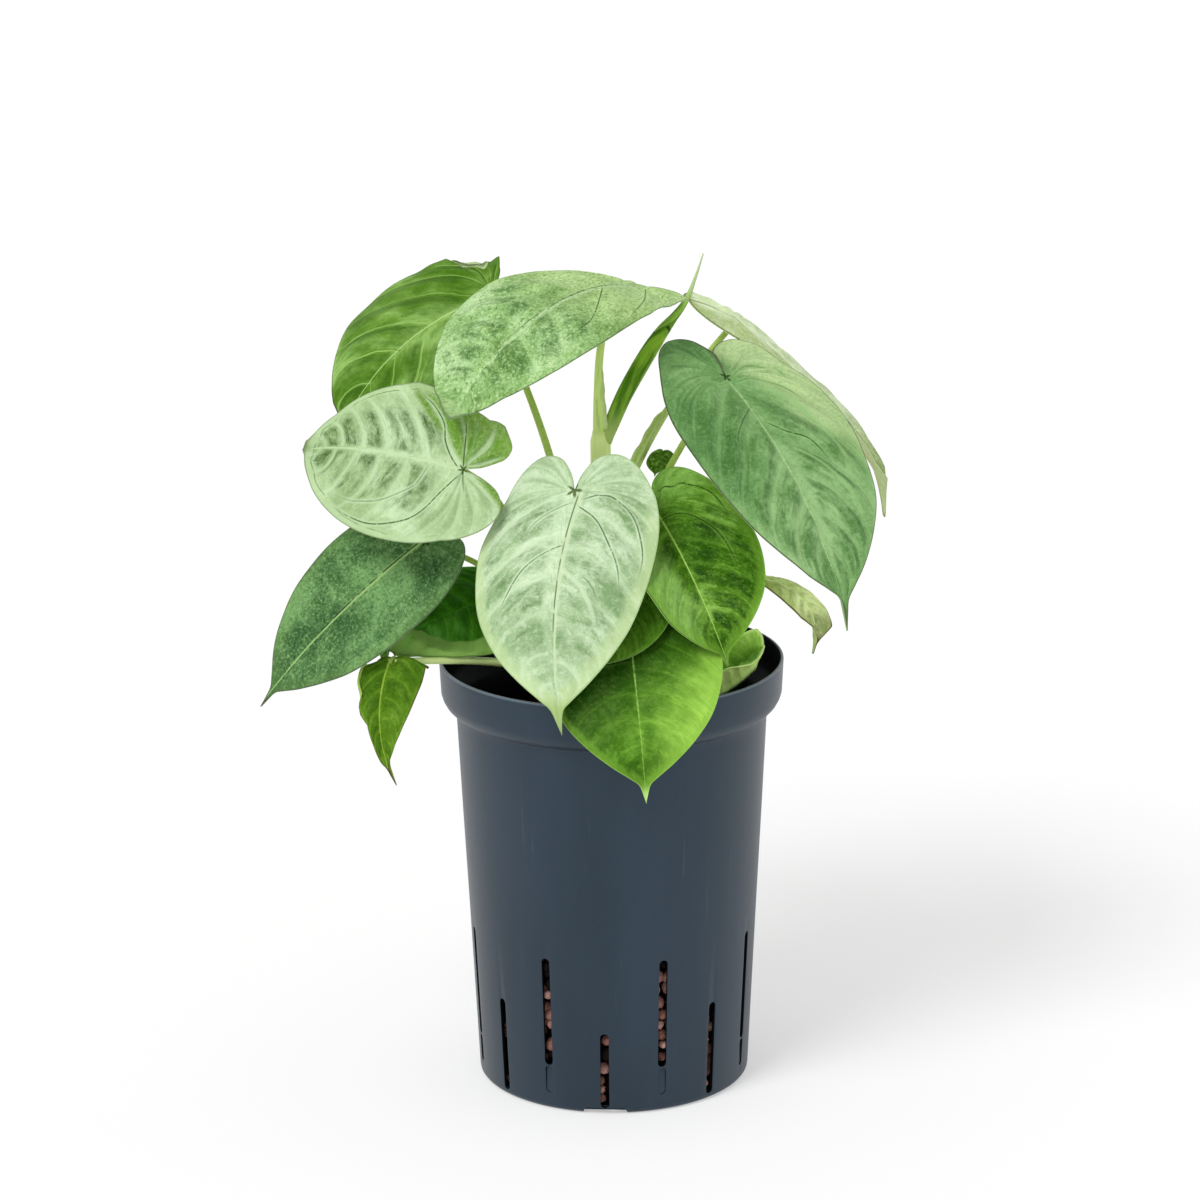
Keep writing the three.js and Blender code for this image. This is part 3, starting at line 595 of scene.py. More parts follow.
def leaf_grid(name, leaf):
    """The fine blade as a grid of middle points and normals, with what its finish reads."""
    rng = np.random.default_rng(sum(map(ord, name)))
    size = leaf["width"] / FULL_SIZE
    rows, half_columns = int(60 + 50 * size), int(14 + 20 * size)
    length = blade_frame(leaf)[-1]
    x, y = blade_outline(leaf, length, rows)
    share = np.linspace(0, 1, rows + 1)[:, None]
    outs = np.linspace(0, 1, half_columns + 1)[None, :]
    parts = {}
    for side in (-1, 1):
        point, normal, flat_x, flat_y = blade_surface(leaf, side, x[:, None], y[:, None], outs)
        vein, strength = vein_numbers(leaf, rng, side, share, outs)
        margin_line = np.stack([side * x * leaf["width"] / 2 * (1 + side * leaf["skew"]), y * length], 1)
        margin = distance_to_line(flat_x, flat_y, margin_line)[0]
        pitch = vein_pitch(flat_x, flat_y, vein)
        out = np.broadcast_to(outs, vein.shape)
        along = flat_y / length
        between = np.cos(2 * np.pi * np.abs((vein + 0.5) % 1 - 0.5))
        open_blade = smooth(out, 0.02, 0.2) * (1 - smooth(out, 0.72, 1.0)) * smooth(pitch, 1.0, 4.0)
        relief = -leaf["quilt"] * between * open_blade * (1 - smooth(along, 0.75, 1))
        rib = flat_x - leaf["rib_shift"] * np.sqrt(np.clip(1 - along, 0, 1))
        rib = rib - leaf["rib_bow"] * np.sin(np.pi * np.clip(along, 0, 1))
        relief = relief - 0.5 * bump_at(rib, 1.5) * smooth(flat_y, 0, 4)
        phase = rng.uniform(0, 6.28, 3)
        ripple = sum(np.sin(2 * np.pi * k * share + p) / k**0.5 for k, p in zip((2, 3.5, 6), phase))
        free_margin = smooth(share, 0, 0.08) * (1 - smooth(share, 0.85, 1))
        relief = relief + WAVE * size * ripple * out**2 * free_margin
        point = point + normal * relief[..., None]
        point = pulled(point, leaf, side, share, out**2)
        point = pulled(point, leaf, 0, along, 1 - out**2)
        rolled = np.zeros_like(out)
        for lip_side, *lip in leaf["lips"]:
            if lip_side == side:
                point, normal, rolled = roll(point, normal, margin, share, *lip)
        parts[side] = dict(point=point, normal=normal, x=flat_x, y=flat_y, out=side * out, vein=vein,
                           strength=strength, margin=margin, pitch=pitch, rib=rib, rolled=rolled)
    return {key: np.concatenate([parts[-1][key][:, :0:-1], parts[1][key]], 1) for key in parts[1]}, length


def leaf_piece(name, leaf, look):
    grid, length = leaf_grid(name, leaf)
    rows, columns = grid["x"].shape
    out = np.abs(grid["out"])
    half = (BLADE_THICKNESS + (MARGIN_THICKNESS - BLADE_THICKNESS) * out**2) / 2
    on_rib = smooth(grid["y"], -1, 3) * np.sqrt(np.clip(1 - grid["y"] / length, 0, 1))
    ridge = 1.1 * bump_at(grid["x"], 1.3) * on_rib
    upper = grid["point"] + grid["normal"] * half[..., None]
    lower = grid["point"] - grid["normal"] * (half + ridge)[..., None]
    points = np.concatenate([upper.reshape(-1, 3), lower.reshape(-1, 3)])
    points = np.clip(points, BOX_LOW, BOX_HIGH)
    under = rows * columns
    index = np.arange(under).reshape(rows, columns)
    a, b, c, d = index[:-1, :-1], index[:-1, 1:], index[1:, 1:], index[1:, :-1]
    faces = [np.stack([d, c, b, a], -1).reshape(-1, 4), np.stack([a, b, c, d], -1).reshape(-1, 4) + under]
    for column, order in ((0, 1), (-1, -1)):
        near, far = index[:-1, column], index[1:, column]
        faces.append(np.stack([near, far, far + under, near + under], -1)[:, ::order])
    faces = np.concatenate(faces)[:, ::-1]
    half_width = leaf["width"] / 2

    def both(*channels):
        one = np.stack([channel.reshape(-1) for channel in channels], -1)
        return np.concatenate([one, one])

    attributes = {
        "flat": both(grid["x"], grid["y"], grid["x"]),
        "unit": both(grid["x"] / half_width, grid["y"] / length, out),
        "veins": both(grid["vein"], grid["pitch"], grid["strength"]),
        "edge": both(grid["margin"], grid["rib"], grid["rolled"]),
    }
    attributes["flat"][:, 2] = np.repeat([1.0, 0.0], under)
    for k, (_, _, line) in enumerate(leaf["drawn"]):
        fine = curve_through([(x * half_width, y * length) for x, y in line], 60)
        away, sign, share = distance_to_line(grid["x"], grid["y"], fine)
        fade = smooth(share, 0.0, 0.06) * (1 - smooth(share, 0.7, 1.0))
        attributes[f"drawn_{k}"] = both(away * sign, fade, fade)
    material = leaf_finish(name, look, leaf["drawn"])
    mesh_piece("blade_" + name, "leaf_" + name, points, faces, material, attributes)


# Leaf finishes

# shade is how strong the painted shade is on one side of each side vein, where the blade dips.
# Colours and amounts of each leaf, as they look in the light; light brings them down to what the
# surface itself has. deep, mid and pale mix in patches, whose size in mm is patch, and in streaks
# along the side veins. Blotches lie between the side veins inside zone: out from, to, along from,
# to. Threads are fine dark streaks, marble finer cloud in the blotches' colour, waves thin wavy
# lines, frost the bloom and grit the light and dark specks. line and crease are the pale and dark
# part of a side vein, rib_line a dark line beside the midrib (offset in mm), whole how unbroken
# the midrib is.
# rim is the band inside the margin: colour, width in mm, amount; hem a thin line so far inside it.
# base_shade is the dark star over the stalk, painted shade where the veins meet at the base, with its size in
# mm.
# tints run across the leaf: colour, x and y weights, start, end, amount.
PLAIN = dict(
    deep="3c7030", mid="5f9a4c", pale="8fc07c", patch=28, frost=("cfe5c6", 0.2), blotch=("3f7a3a", 0.3),
    zone=(0.05, 0.9, 0, 1), thread=("3f7a3a", 0.3), streak=0.4, speckle=0.25, line=("b5d79a", 0.7, 0.4),
    crease=("2f5a28", 0.3, 0.15), shade=0.35, waves=0.0, marble=0.3, midrib=("c4e0b0", 1, 0.7), whole=0.5,
    rib_line=("2f5a28", 0, 0), rim=("b5d79a", 4, 0), hem=("4f6a3c", 2.4, 0), margin=("6b7a58", 0.45, 0.6),
    tip=("6f8f4a", 0.93, 0.5), under="b9cfa6", tints=(), base_shade=("2c4a22", 0), drawn=("2f4a26", 0.28),
    rough=0.55, specular=0.06, contrast=1.3, light=(0.7, 0.7, 0.7),
)
LOOKS = {
    "upper_left": dict(
        deep="5f8c24", mid="76a042", pale="98c06a", frost=("b4d290", 0.06), blotch=("4a7614", 0.5),
        thread=("56841c", 0.35), streak=0.7, speckle=0.2, line=("c2e092", 0.4, 0.8), shade=0.8,
        midrib=("d2ecb0", 0.7, 0.95), marble=0.15, contrast=1.5, light=(0.61, 0.68, 0.46),
        margin=("4c4a48", 0.35, 0.8), under="e4ecd8",
    ),
    "top": dict(
        deep="84ac64", mid="9ac47c", pale="b2d899", frost=("c0e2a4", 0.35), blotch=("5e8c4a", 0.75),
        zone=(0.1, 0.75, 0.35, 0.9), thread=("5e8c4a", 0.6), streak=0.35, speckle=0.7,
        line=("b8dca0", 1, 0.25), crease=("5f9457", 0.3, 0.2), shade=0.2, waves=0.45,
        midrib=("cae8b4", 4.2, 0.9), contrast=1.6, whole=0.12, light=(0.75, 0.77, 0.69),
        margin=("5a5c58", 0.22, 0.7), grit=("c4e4a8", "5c8c48"), rib_line=("2c5424", -1.6, 0.75),
        tints=(("bce094", 0, -1, -0.5, -0.2, 0.85),), drawn=("2c5424", 0.34),
    ),
    "pale_left": dict(
        deep="b0cc9a", mid="bed8a8", pale="d6eec4", frost=("e0f2d2", 0.3), blotch=("7c9c62", 0.9),
        zone=(0.06, 0.62, 0.12, 0.9), thread=("54784a", 0.85), streak=0.6, speckle=0.3,
        line=("d8f0c8", 1.1, 0.7), crease=("4f7548", 0.25, 0.2), shade=0.25, marble=0.3,
        midrib=("dcf0c8", 1.3, 0.85), margin=("8f9c78", 0.4, 0.7), rim=("d4ecc0", 5, 0.6),
        base_shade=("40601c", 1.8), drawn=("3c5c2c", 0.36), contrast=1.55, light=(0.65, 0.685, 0.595),
        hem=("5c7c48", 2.6, 0.7),
        tints=(("84b03c", -0.45, -1, 0.02, 0.06, 0.98), ("a8d070", -0.6, -1.2, 0.3, 0.5, 0.6)),
    ),
    "lower_left": dict(
        deep="40683a", mid="567e48", pale="6e9a5c", grit=("94bc7c", "2c5426"), frost=("96be80", 0.35),
        blotch=("34602c", 0.35), zone=(0.05, 0.8, 0, 0.6), thread=("34602c", 0.3), streak=0.15, speckle=0.7,
        line=("8fbf8c", 1, 0.08), crease=("234a28", 0.3, 0.2), shade=0.12, patch=24,
        midrib=("acd084", 1.5, 0.9), marble=0.12, contrast=1.2, whole=0.45, light=(0.68, 0.72, 0.68),
        rib_line=("1d3a1c", -0.5, 0.95), margin=("5c6a50", 0.4, 0.8), rim=("7ca058", 6, 0.25),
        tip=("54503a", 0.95, 0.9), base_shade=("1c3c14", 2.4),
    ),
    "front": dict(
        deep="abc89c", mid="bfdaae", pale="daf0cc", frost=("e6f6da", 0.35), blotch=("8eb07c", 0.85),
        zone=(0.08, 0.85, 0, 0.7), thread=("6c9460", 0.75), streak=0.7, speckle=0.35,
        line=("dcf2ce", 1.1, 0.45), crease=("55784c", 0.25, 0.1), shade=0.25, marble=0.55,
        midrib=("d8ecc4", 2, 0.8), rib_line=("4a6c3c", -0.5, 0.8), rim=("cce4a8", 8, 0.55),
        margin=("a6c488", 0.6, 0.7), tip=("a4c070", 0.86, 0.7), base_shade=("4c6424", 2.6), drawn=("54764a", 0.34),
        tints=(("c0d68c", 0, 1, 0.75, 1.1, 0.7),), light=(0.745, 0.755, 0.71),
    ),
    "right": dict(
        deep="3c6a0a", mid="568420", pale="7eaa4a", frost=("9cc878", 0.1), blotch=("264e02", 0.85),
        zone=(0.05, 0.85, 0.15, 0.9), thread=("2c5a04", 0.5), streak=0.7, speckle=0.35,
        line=("88b45b", 0.6, 0.12), crease=("1f4a0a", 0.3, 0.2), shade=0.3, midrib=("b8dc8a", 0.7, 0.95),
        marble=0.4, margin=("7cac4c", 0.6, 0.6), contrast=1.45,
        tints=(("8ab85c", -1, 0, 0.1, 0.5, 0.7), ("8ab85c", 0, -1, -0.06, 0.1, 0.5)), drawn=("204404", 0.36),
        rim=("7aa644", 5, 0.5), whole=0.4, light=(0.74, 0.81, 0.48),
    ),
    "right_back": dict(
        deep="bcd2a0", mid="cde3b3", pale="deefcb", frost=("e8f6da", 0.4), blotch=("a8c088", 0.5), streak=0.3,
        speckle=0.5, line=("dcecc4", 0.8, 0.3), crease=("8fa35c", 0.3, 0.3), shade=0.2,
        midrib=("8a9c4c", 1, 0.7), margin=("66783a", 0.7, 0.8), tip=("6c8834", 0.93, 0.6),
        drawn=("6c8038", 0.4),
        tints=(
            ("8ca04c", 0, -1, 0.13, 0.17, 0.8), ("9cb860", -1, 0, 0.1, 0.5, 0.7),
            ("7c9c3c", 0, 1, 0.52, 0.86, 0.9),
        ),
        light=(0.94, 0.93, 0.86), hem=("7c8c44", 3.5, 0.6), under="d0e0a8",
    ),
    "right_front": dict(
        deep="648f56", mid="7ca669", pale="98be84", frost=("a8cc94", 0.22), blotch=("4c783c", 0.75),
        zone=(0.1, 0.85, 0.1, 0.85), thread=("54804a", 0.4), streak=0.4, speckle=0.35,
        line=("a0c888", 0.7, 0.15), crease=("355f34", 0.3, 0.12), shade=0.6, patch=50,
        midrib=("bcdca0", 1.1, 0.9), marble=0.35, whole=0.15, light=(0.77, 0.82, 0.71), waves=0.15,
        margin=("5a4e4a", 0.4, 0.8), tip=("6f7a50", 0.93, 0.8), base_shade=("2c4818", 2.2), drawn=("34582c", 0.36),
        tints=(("c4dea4", 0.6, -1, 0.02, 0.26, 0.85), ("82b070", 0.8, 0.2, 0.6, 0.9, 0.4)),
    ),
    "over_rim": dict(
        deep="446e1a", mid="5f8c2c", pale="82b048", frost=("b4dc84", 0.1), blotch=("346010", 0.4),
        zone=(0.05, 0.9, 0, 0.85), thread=("346210", 0.4), streak=0.6, speckle=0.12,
        line=("84b048", 0.7, 0.08), crease=("2a5f10", 0.3, 0.1), shade=0.3, midrib=("a8d07c", 0.7, 0.9),
        margin=("a8cc7c", 0.35, 0.7), whole=0.2, light=(0.65, 0.76, 0.43), rim=("8cb850", 4, 0.4),
        tip=("d8f4b4", 0.93, 0.95), marble=0.3,
        # the first tint, pale lime toward the tip and the plus side, is a painted highlight; the second, dark
        # green near the base, is the painted shadow of the leaf above
        tints=(("a8d464", 0.8, 1, 0.65, 1.25, 0.85), ("204a04", -0.4, -1, -0.65, -0.15, 0.85)),
    ),
    "inner_front": dict(
        deep="4c7c18", mid="6c9c2c", pale="8cbc48", line=("7cac48", 0.8, 0.3), midrib=("86b85a", 0.8, 0.6),
        margin=("8cb85c", 0.5, 0.6), frost=("8cbc6c", 0.08), blotch=("34640c", 0.5), light=(0.56, 0.64, 0.45),
    ),
    "folded_right": dict(
        deep="6a9838", mid="86ae4c", pale="a4c874", line=("a8cc78", 0.7, 0.12), margin=("d4e4bc", 0.8, 0.8),
        under="ccdcae", blotch=("5c8430", 0.4), light=(1.12, 1.25, 0.7), frost=("c4dcae", 0.1),
    ),
    "small_right": dict(
        deep="8e9e5e", mid="a4b47a", pale="bccc94", line=("cdd8a4", 0.6, 0), streak=0.15, shade=0.0,
        crease=("5a6c2c", 0.3, 0), thread=("78884c", 0.1), margin=("5a4028", 0.5, 0.9),
        blotch=("55682a", 0.3), frost=("d4dcb8", 0.2), tip=("4a3a24", 0.85, 0.9), under="b4c48c",
        tints=(("4c5c24", 0, 1, 0.55, 0.8, 0.6),), light=(1.45, 1.45, 1.2), marble=0.1,
    ),
    "inner_left": dict(
        deep="264e08", mid="3a6414", pale="547e3a", line=("5c8c3c", 0.7, 0.15), blotch=("1c420a", 0.5),
        thread=("1c420a", 0.4), frost=("7cb45c", 0.05), light=(1, 1.4, 0.62), midrib=("54803c", 0.5, 0.5),
        margin=("8fb070", 0.5, 0.7), under="7f8e68",
    ),
    "hanging_left": dict(
        deep="4c740c", mid="5f8622", pale="80a446", line=("94b44c", 0.5, 0.15), crease=("3a680c", 0.3, 0.2),
        blotch=("3a6008", 0.5), thread=("3e680a", 0.45), frost=("a4c878", 0.08), midrib=("a4c068", 0.7, 0.9),
        margin=("6a4838", 0.4, 0.85), tip=("4a3a2c", 0.92, 0.9), under="bcd0a4", streak=0.6,
        light=(0.65, 0.74, 0.32), whole=0.3,
    ),
    "young": dict(
        deep="2e4c06", mid="44621a", pale="5f7c34", blotch=("1c360c", 0.5), under="7f9c58",
        light=(1.3, 1.55, 0.5), line=("44621a", 0.5, 0), midrib=("54742c", 0.5, 0.4),
    ),
}


def toned(value, light):
    """A look's entry with every colour in it brought down by the leaf's light."""
    if isinstance(value, str):
        return tuple(c * t for c, t in zip(rgb(value), light)) + (1.0,)
    return tuple(toned(part, light) for part in value) if isinstance(value, tuple) else value


def leaf_finish(name, changes, drawn):
    look = {**PLAIN, **changes}
    look = {key: value if key == "light" else toned(value, look["light"]) for key, value in look.items()}
    f = Finish("leaf_" + name, specular=look["specular"])
    seed = (sum(map(ord, name)) % 97) * 1.37
    deep, mid, pale = look["deep"], look["mid"], look["pale"]
    streak, speckle = look["streak"], look["speckle"]
    blotch, blotches = look["blotch"]
    x, y, top = f.read("flat")
    ux, uy, out = f.read("unit")
    vein, pitch, strength = f.read("veins")
    margin, rib, rolled = f.read("edge")
    plane = f.join(x, y, seed)
    vein = f.plus(vein, f.swing(f.noise(plane, 0.07), 0.25))
    half_seed = f.plus(seed, f.times(f.step(x, -0.01, 0.01), 9.0))

    def ribbed(along, across, *rest):
        return f.noise(f.join(f.times(vein, along), f.times(out, across), half_seed), 1.0, *rest)

    marble = ribbed(5.0, 6.5, 4, 0.65, 1.0)
    streaks = ribbed(3.4, 2.2, 3, 0.6, 0.4)
    threads = ribbed(8.0, 4.0, 3, 0.65, 0.3)
    patches = f.noise(plane, 1 / look["patch"], 3, 0.55)
    grain = f.noise(plane, 0.75, 3, 0.75)
    dots = f.noise(plane, 0.5, 4, 0.8)
    signed = f.less(f.math("FRACT", f.plus(vein, 0.5)), 0.5)
    vein_phase = f.size(signed)
    away = f.times(vein_phase, pitch)
    fan = f.step(pitch, 0.6, 2.2)

    # soft patches and streaks that run with the side veins, and painted shade on one side of each side vein,
    # where the quilted blade dips
    wander = f.plus(f.times(patches, 1.0 - 0.5 * streak), f.times(streaks, 0.5 * streak))
    wander = f.plus(f.plus(wander, f.swing(threads, 0.4 * streak)), f.swing(dots, 0.3 * speckle))
    f.body = f.mix(f.step(wander, 0.37, 0.51), deep, mid)
    f.lay(pale, f.step(wander, 0.48, 0.63))
    painted_vein_shade = f.times(f.step(signed, 0.02, 0.1), f.step(signed, 0.5, 0.15), fan, f.step(out, 0.02, 0.15),
                  f.step(out, 1.0, 0.75))
    f.lay(blotch, painted_vein_shade, f.step(f.plus(streaks, threads), 0.75, 1.15), look["shade"])

    # blotches between the veins, broken into threads
    out0, out1, along0, along1 = look["zone"]
    zone = f.times(f.step(out, out0 - 0.04, out0 + 0.06), f.step(out, out1 + 0.12, out1 - 0.08),
                   f.step(uy, along0 - 0.05, along0 + 0.08), f.step(uy, along1 + 0.05, along1 - 0.08))
    spots = f.plus(f.times(streaks, 0.6), f.times(f.noise(plane, 0.09), 0.6))
    where = f.times(f.step(vein_phase, 0.06, 0.3), f.step(spots, 0.5, 0.7), zone)
    f.lay(blotch, where, blotches)
    colour, amount = look["thread"]
    broken = f.times(f.step(threads, 0.5, 0.66), f.step(vein_phase, 0.03, 0.12))
    f.lay(colour, broken, f.plus(0.25, f.times(where, 0.75)), zone, fan, amount)
    f.lay(blotch, f.step(marble, 0.51, 0.66), zone, look["marble"])
    f.lay(pale, f.step(marble, 0.46, 0.34), look["marble"], 0.8)
    for colour, gx, gy, start, end, amount in look["tints"]:
        drift = f.swing(patches, min(0.6, (end - start) * 1.5))
        slant = f.plus(f.times(ux, gx), f.plus(f.times(uy, gy), drift))
        patch = f.mix(f.times(f.step(threads, 0.62, 0.4), 0.16), colour, blotch)
        f.lay(patch, f.step(slant, start, end), amount)

    # fine wavy lines, bloom and fine specks
    level = f.math("FRACT", f.times(f.noise(plane, 0.045, 2, 0.4), 26))
    f.lay(deep, f.step(level, 0.0, 0.2), f.step(level, 0.6, 0.25), look["waves"], f.step(uy, 0.5, 0.25))
    colour, amount = look["frost"]
    f.lay(colour, f.step(f.plus(f.times(dots, 0.75), f.times(patches, 0.45)), 0.55, 0.75), amount)
    light_grit, dark_grit = look.get("grit", (pale, deep))
    f.lay(light_grit, f.step(grain, 0.52, 0.66), speckle, 0.8)
    f.lay(dark_grit, f.step(grain, 0.46, 0.32), speckle)

    # stronger contrast round the leaf's middle colour
    f.body = f.node("Gamma", {0: f.mix(1.0, f.body, mid, "DIVIDE"), 1: look["contrast"]}).outputs[0]
    f.body = f.mix(1.0, f.body, mid, "MULTIPLY")

    # side veins, single veins, midrib, margin, tip and the painted shade over the stalk
    colour, width, amount = look["rim"]
    edge = f.plus(margin, f.swing(streaks, width * 1.2))
    f.lay(colour, f.step(edge, width, width * 0.45), amount, f.step(uy, 0.0, 0.15))
    colour, inset, amount = look["hem"]
    if amount:
        wandering = f.plus(margin, f.swing(f.noise(plane, 0.06), 3.0))
        close = f.step(f.size(f.less(wandering, inset)), 0.4, 0.1)
        gaps = f.step(f.noise(plane, 0.1, 3), 0.42, 0.58)
        f.lay(colour, close, amount, gaps, f.step(uy, 0.0, 0.2))
    colour, width, amount = look["line"]
    fading = f.times(strength, f.step(out, 1.0, 0.7), fan)
    f.lay(pale, f.step(away, width * 3, 0.0), amount, fading, 0.4)
    f.lay(colour, f.step(away, width, width * 0.25), amount, fading)
    colour, width, amount = look["crease"]
    f.lay(colour, f.step(away, width, width * 0.3), amount, fading, f.step(f.noise(plane, 0.12), 0.35, 0.6))
    colour, width, amount = look["midrib"]
    beside = f.math("DIVIDE", f.size(rib), f.less(1.15, uy))
    on_rib = f.step(uy, -0.02, 0.02)
    broken = f.step(f.plus(grain, f.times(f.step(beside, width, 0.0), look["whole"])), 0.4, 0.75)
    f.lay(colour, f.step(beside, width * 1.2, width * 0.3), amount, on_rib, broken)
    colour, offset, amount = look["rib_line"]
    if amount:
        dashes = f.step(f.noise(plane, 0.16), 0.36, 0.5)
        line = f.step(f.size(f.less(rib, offset)), 0.45, 0.15)
        f.lay(colour, line, amount, on_rib, dashes, f.step(uy, 0.75, 0.5))
    colour, width = look["drawn"]
    for k, (dark, light, _) in enumerate(drawn):
        line, fade, _ = f.read(f"drawn_{k}")
        near = f.size(f.plus(line, f.swing(grain, 0.25)))
        f.lay(look["line"][0], f.step(near, width * 4.5, width), fade, light)
        if dark:
            f.lay(colour, f.step(near, width * 1.4, width * 0.4), fade, dark, f.step(dots, 0.3, 0.5))
    colour, width, amount = look["margin"]
    f.lay(colour, f.step(margin, width * 1.5, width * 0.5), amount)
    colour, start, amount = look["tip"]
    f.lay(colour, f.step(uy, start - 0.04, start + 0.05), amount)
    # a dark star of painted shade where the veins meet over the stalk
    colour, width = look["base_shade"]
    if width:
        from_stalk = f.node("VectorMath", {0: f.join(x, y)}, operation="LENGTH").outputs["Value"]
        turn = f.plus(f.times(f.math("ARCTAN2", x, y), 2.5), f.times(dots, 1.5))
        rays = f.size(f.math("SINE", turn))
        size = f.plus(width * 0.5, f.times(rays, rays, width))
        f.lay(colour, f.step(f.math("DIVIDE", from_stalk, size), 1.1, 0.6), 0.9)
    f.lay(look["under"], f.step(rolled, 0.45, 0.8), 0.9)

    # the paler lower side
    upper = f.body
    f.body = f.mix(0.65, f.mix(f.step(wander, 0.35, 0.65), mid, look["under"]), look["under"])
    f.lay(look["line"][0], f.step(away, 0.9, 0.3), fading, 0.6)
    f.lay(look["midrib"][0], f.step(beside, 1.6, 0.8), on_rib, 0.7)
    f.lay(upper, f.step(top, 0.4, 0.6))

    f.shade("Roughness", f.plus(look["rough"] - 0.08, f.times(grain, 0.2)))
    height = f.plus(f.times(f.step(away, 1.2, 0.1), -0.35), f.times(grain, 0.2))
    height = f.plus(height, f.times(f.noise(plane, 0.35), 0.35))
    return f.done(f.times(height, f.step(out, 1.0, 0.8)), 0.6, 0.8)


# Stalks, stems and the spear

def tube_piece(name, node, slot, material, path, radii, toward, *channels):
    """A closed tube along a path. radii and the three channels hold a number for each ring and
    corner; the first corner faces toward, and the rings are kept from turning round the path."""
    rings, sides = radii.shape
    tangents = np.gradient(path, axis=0)
    tangents /= np.linalg.norm(tangents, axis=1, keepdims=True)
    first, normals = np.asarray(toward, float), []
    for tangent in tangents:
        first = unit(first - first.dot(tangent) * tangent)
        normals.append(first)
    normals = np.array(normals)
    others = np.cross(tangents, normals)
    turn = corners(sides)[:, None]
    spread = np.cos(turn) * normals[:, None] + np.sin(turn) * others[:, None]
    points = path[:, None] + spread * radii[..., None]
    points[..., 2] = np.minimum(points[..., 2], BOX_HIGH[2])
    index = np.arange(rings * sides).reshape(rings, sides)
    turned = np.roll(index, -1, 1)
    faces = np.stack([index[:-1], turned[:-1], turned[1:], index[1:]], -1).reshape(-1, 4).tolist()
    faces += [index[0, ::-1].tolist(), index[-1].tolist()]
    marks = np.stack([np.broadcast_to(channel, radii.shape).ravel() for channel in channels], -1)
    mesh_piece(name, node, points.reshape(-1, 3), faces, material, {"tube": marks})


def stalk_path(leaf, count):
    stalk = leaf["stalk"]
    stem = STEMS[stalk["stem"]]
    base, along, up = blade_frame(leaf)[:3]
    foot, top = np.array(stem["foot"], float), np.array(stem["top"], float)
    on_axis = foot + (top - foot) * (stalk["height"] - foot[2]) / (top[2] - foot[2])
    outward = unit([base[0] - on_axis[0], base[1] - on_axis[1], 0])
    leave = unit(np.array([0, 0, 1]) + outward * stalk["lean"])
    arrive = unit(stalk["arrive"]) if "arrive" in stalk else unit(up * 0.75 + np.array([0, 0, 0.6]))
    a, d = on_axis + outward * stalk["lean"] * stem["radius"], base + along * STALK_SEAT - up * 0.3
    b, c = a + leave * stalk["rise"], d - arrive * stalk["reach"]
    t = np.linspace(0, 1, count)[:, None]
    return a * (1 - t)**3 + 3 * b * t * (1 - t)**2 + 3 * c * t**2 * (1 - t) + d * t**3, outward


def stalk_finish():
    f = Finish("stalk", roughness=0.45, specular=0.15)
    along, wing, tone = f.read("tube")
    fibres = f.lengthwise(0.12, 900)
    f.body = f.mix(f.step(along, 0.0, 0.8), "dcf494", "a8c45a")
    f.lay("94a650", f.step(fibres, 0.45, 0.7), 0.4)
    f.lay("ccdc9c", f.step(tone, 0.0, -1.0), 0.75)
    papery = f.mix(f.step(f.noise(f.place, 700, 3), 0.4, 0.65), "e4f0c4", "c8dc98")
    f.lay(papery, f.step(wing, 0.12, 0.75))
    return f.done(fibres, 0.3, 0.5)


def stalk_piece(name, leaf, material):
    count, sides, stalk = 56, 28, leaf["stalk"]
    path, outward = stalk_path(leaf, count)
    share = np.linspace(0, 1, count)[:, None]
    radius = stalk["radius"] * (1 + STALK_FLARE * (1 - share)) * (1 + 0.22 * smooth(share, 0.93, 1.0))
    radius = radius + stalk["foot"] * bump_at(share, stalk["flare"])
    turn = corners(sides)
    inner = np.minimum(turn, FULL_TURN - turn)
    end = stalk["sheath"]
    reach = smooth(share, 0.0, 0.1) * (1 - smooth(share, end - 0.025, end + 0.015))
    reach = reach * (0.4 + 0.6 * (1 - share / end))
    ragged = 1 + 0.15 * np.sin(share * 90 + len(name)) + 0.1 * np.sin(share * 41)
    wings = bump_at(inner - 0.85, 0.2) * np.clip(reach * ragged, 0, 2)
    radii = radius * (1 - 0.14 * bump_at(inner, 0.4) + stalk["wings"] * wings)
    tube_piece("petiole_" + name, "stalk_" + name, "stalk", material, path, radii,
               -outward * stalk["wing_side"], share, wings, stalk["tone"])


def stem_finish():
    f = Finish("stem", roughness=0.45, specular=0.15)
    fibres = f.lengthwise(0.08, 600, 3)
    f.body = f.mix(f.step(f.parts(f.place)[2], 0.15, 0.26), "c8e884", "f0ffac")
    f.lay("d0f088", f.step(fibres, 0.45, 0.7), 0.35)
    f.lay("7b7440", f.step(f.read("tube")[0], 0.2, 0.9), 0.6)
    return f.done(fibres, 0.4, 0.5)


def stem_piece(name, stem, material):
    foot, top = np.array(stem["foot"], float), np.array(stem["top"], float)
    share = np.linspace(0, 1, 70)[:, None]
    knots = np.arange(0.12, 0.95, 0.17 if name == "centre" else 0.25)
    ring = sum(bump_at(share - k, 0.012) for k in knots)
    sheath = sum(smooth(share, k, k + 0.02) * (1 - smooth(share, k + 0.02, k + 0.16)) for k in knots)
    radius = stem["radius"] * (1.0 + 0.04 * ring + 0.05 * sheath) * (1 - 0.25 * smooth(share, 0.97, 1.0))
    radii = radius * (1 + 0.03 * np.sin(3 * corners(32) + 1))
    tube_piece("shoot_" + name, "stem_" + name, "stem", material, foot + (top - foot) * share, radii,
               (0, -1, 0), ring, ring, ring)


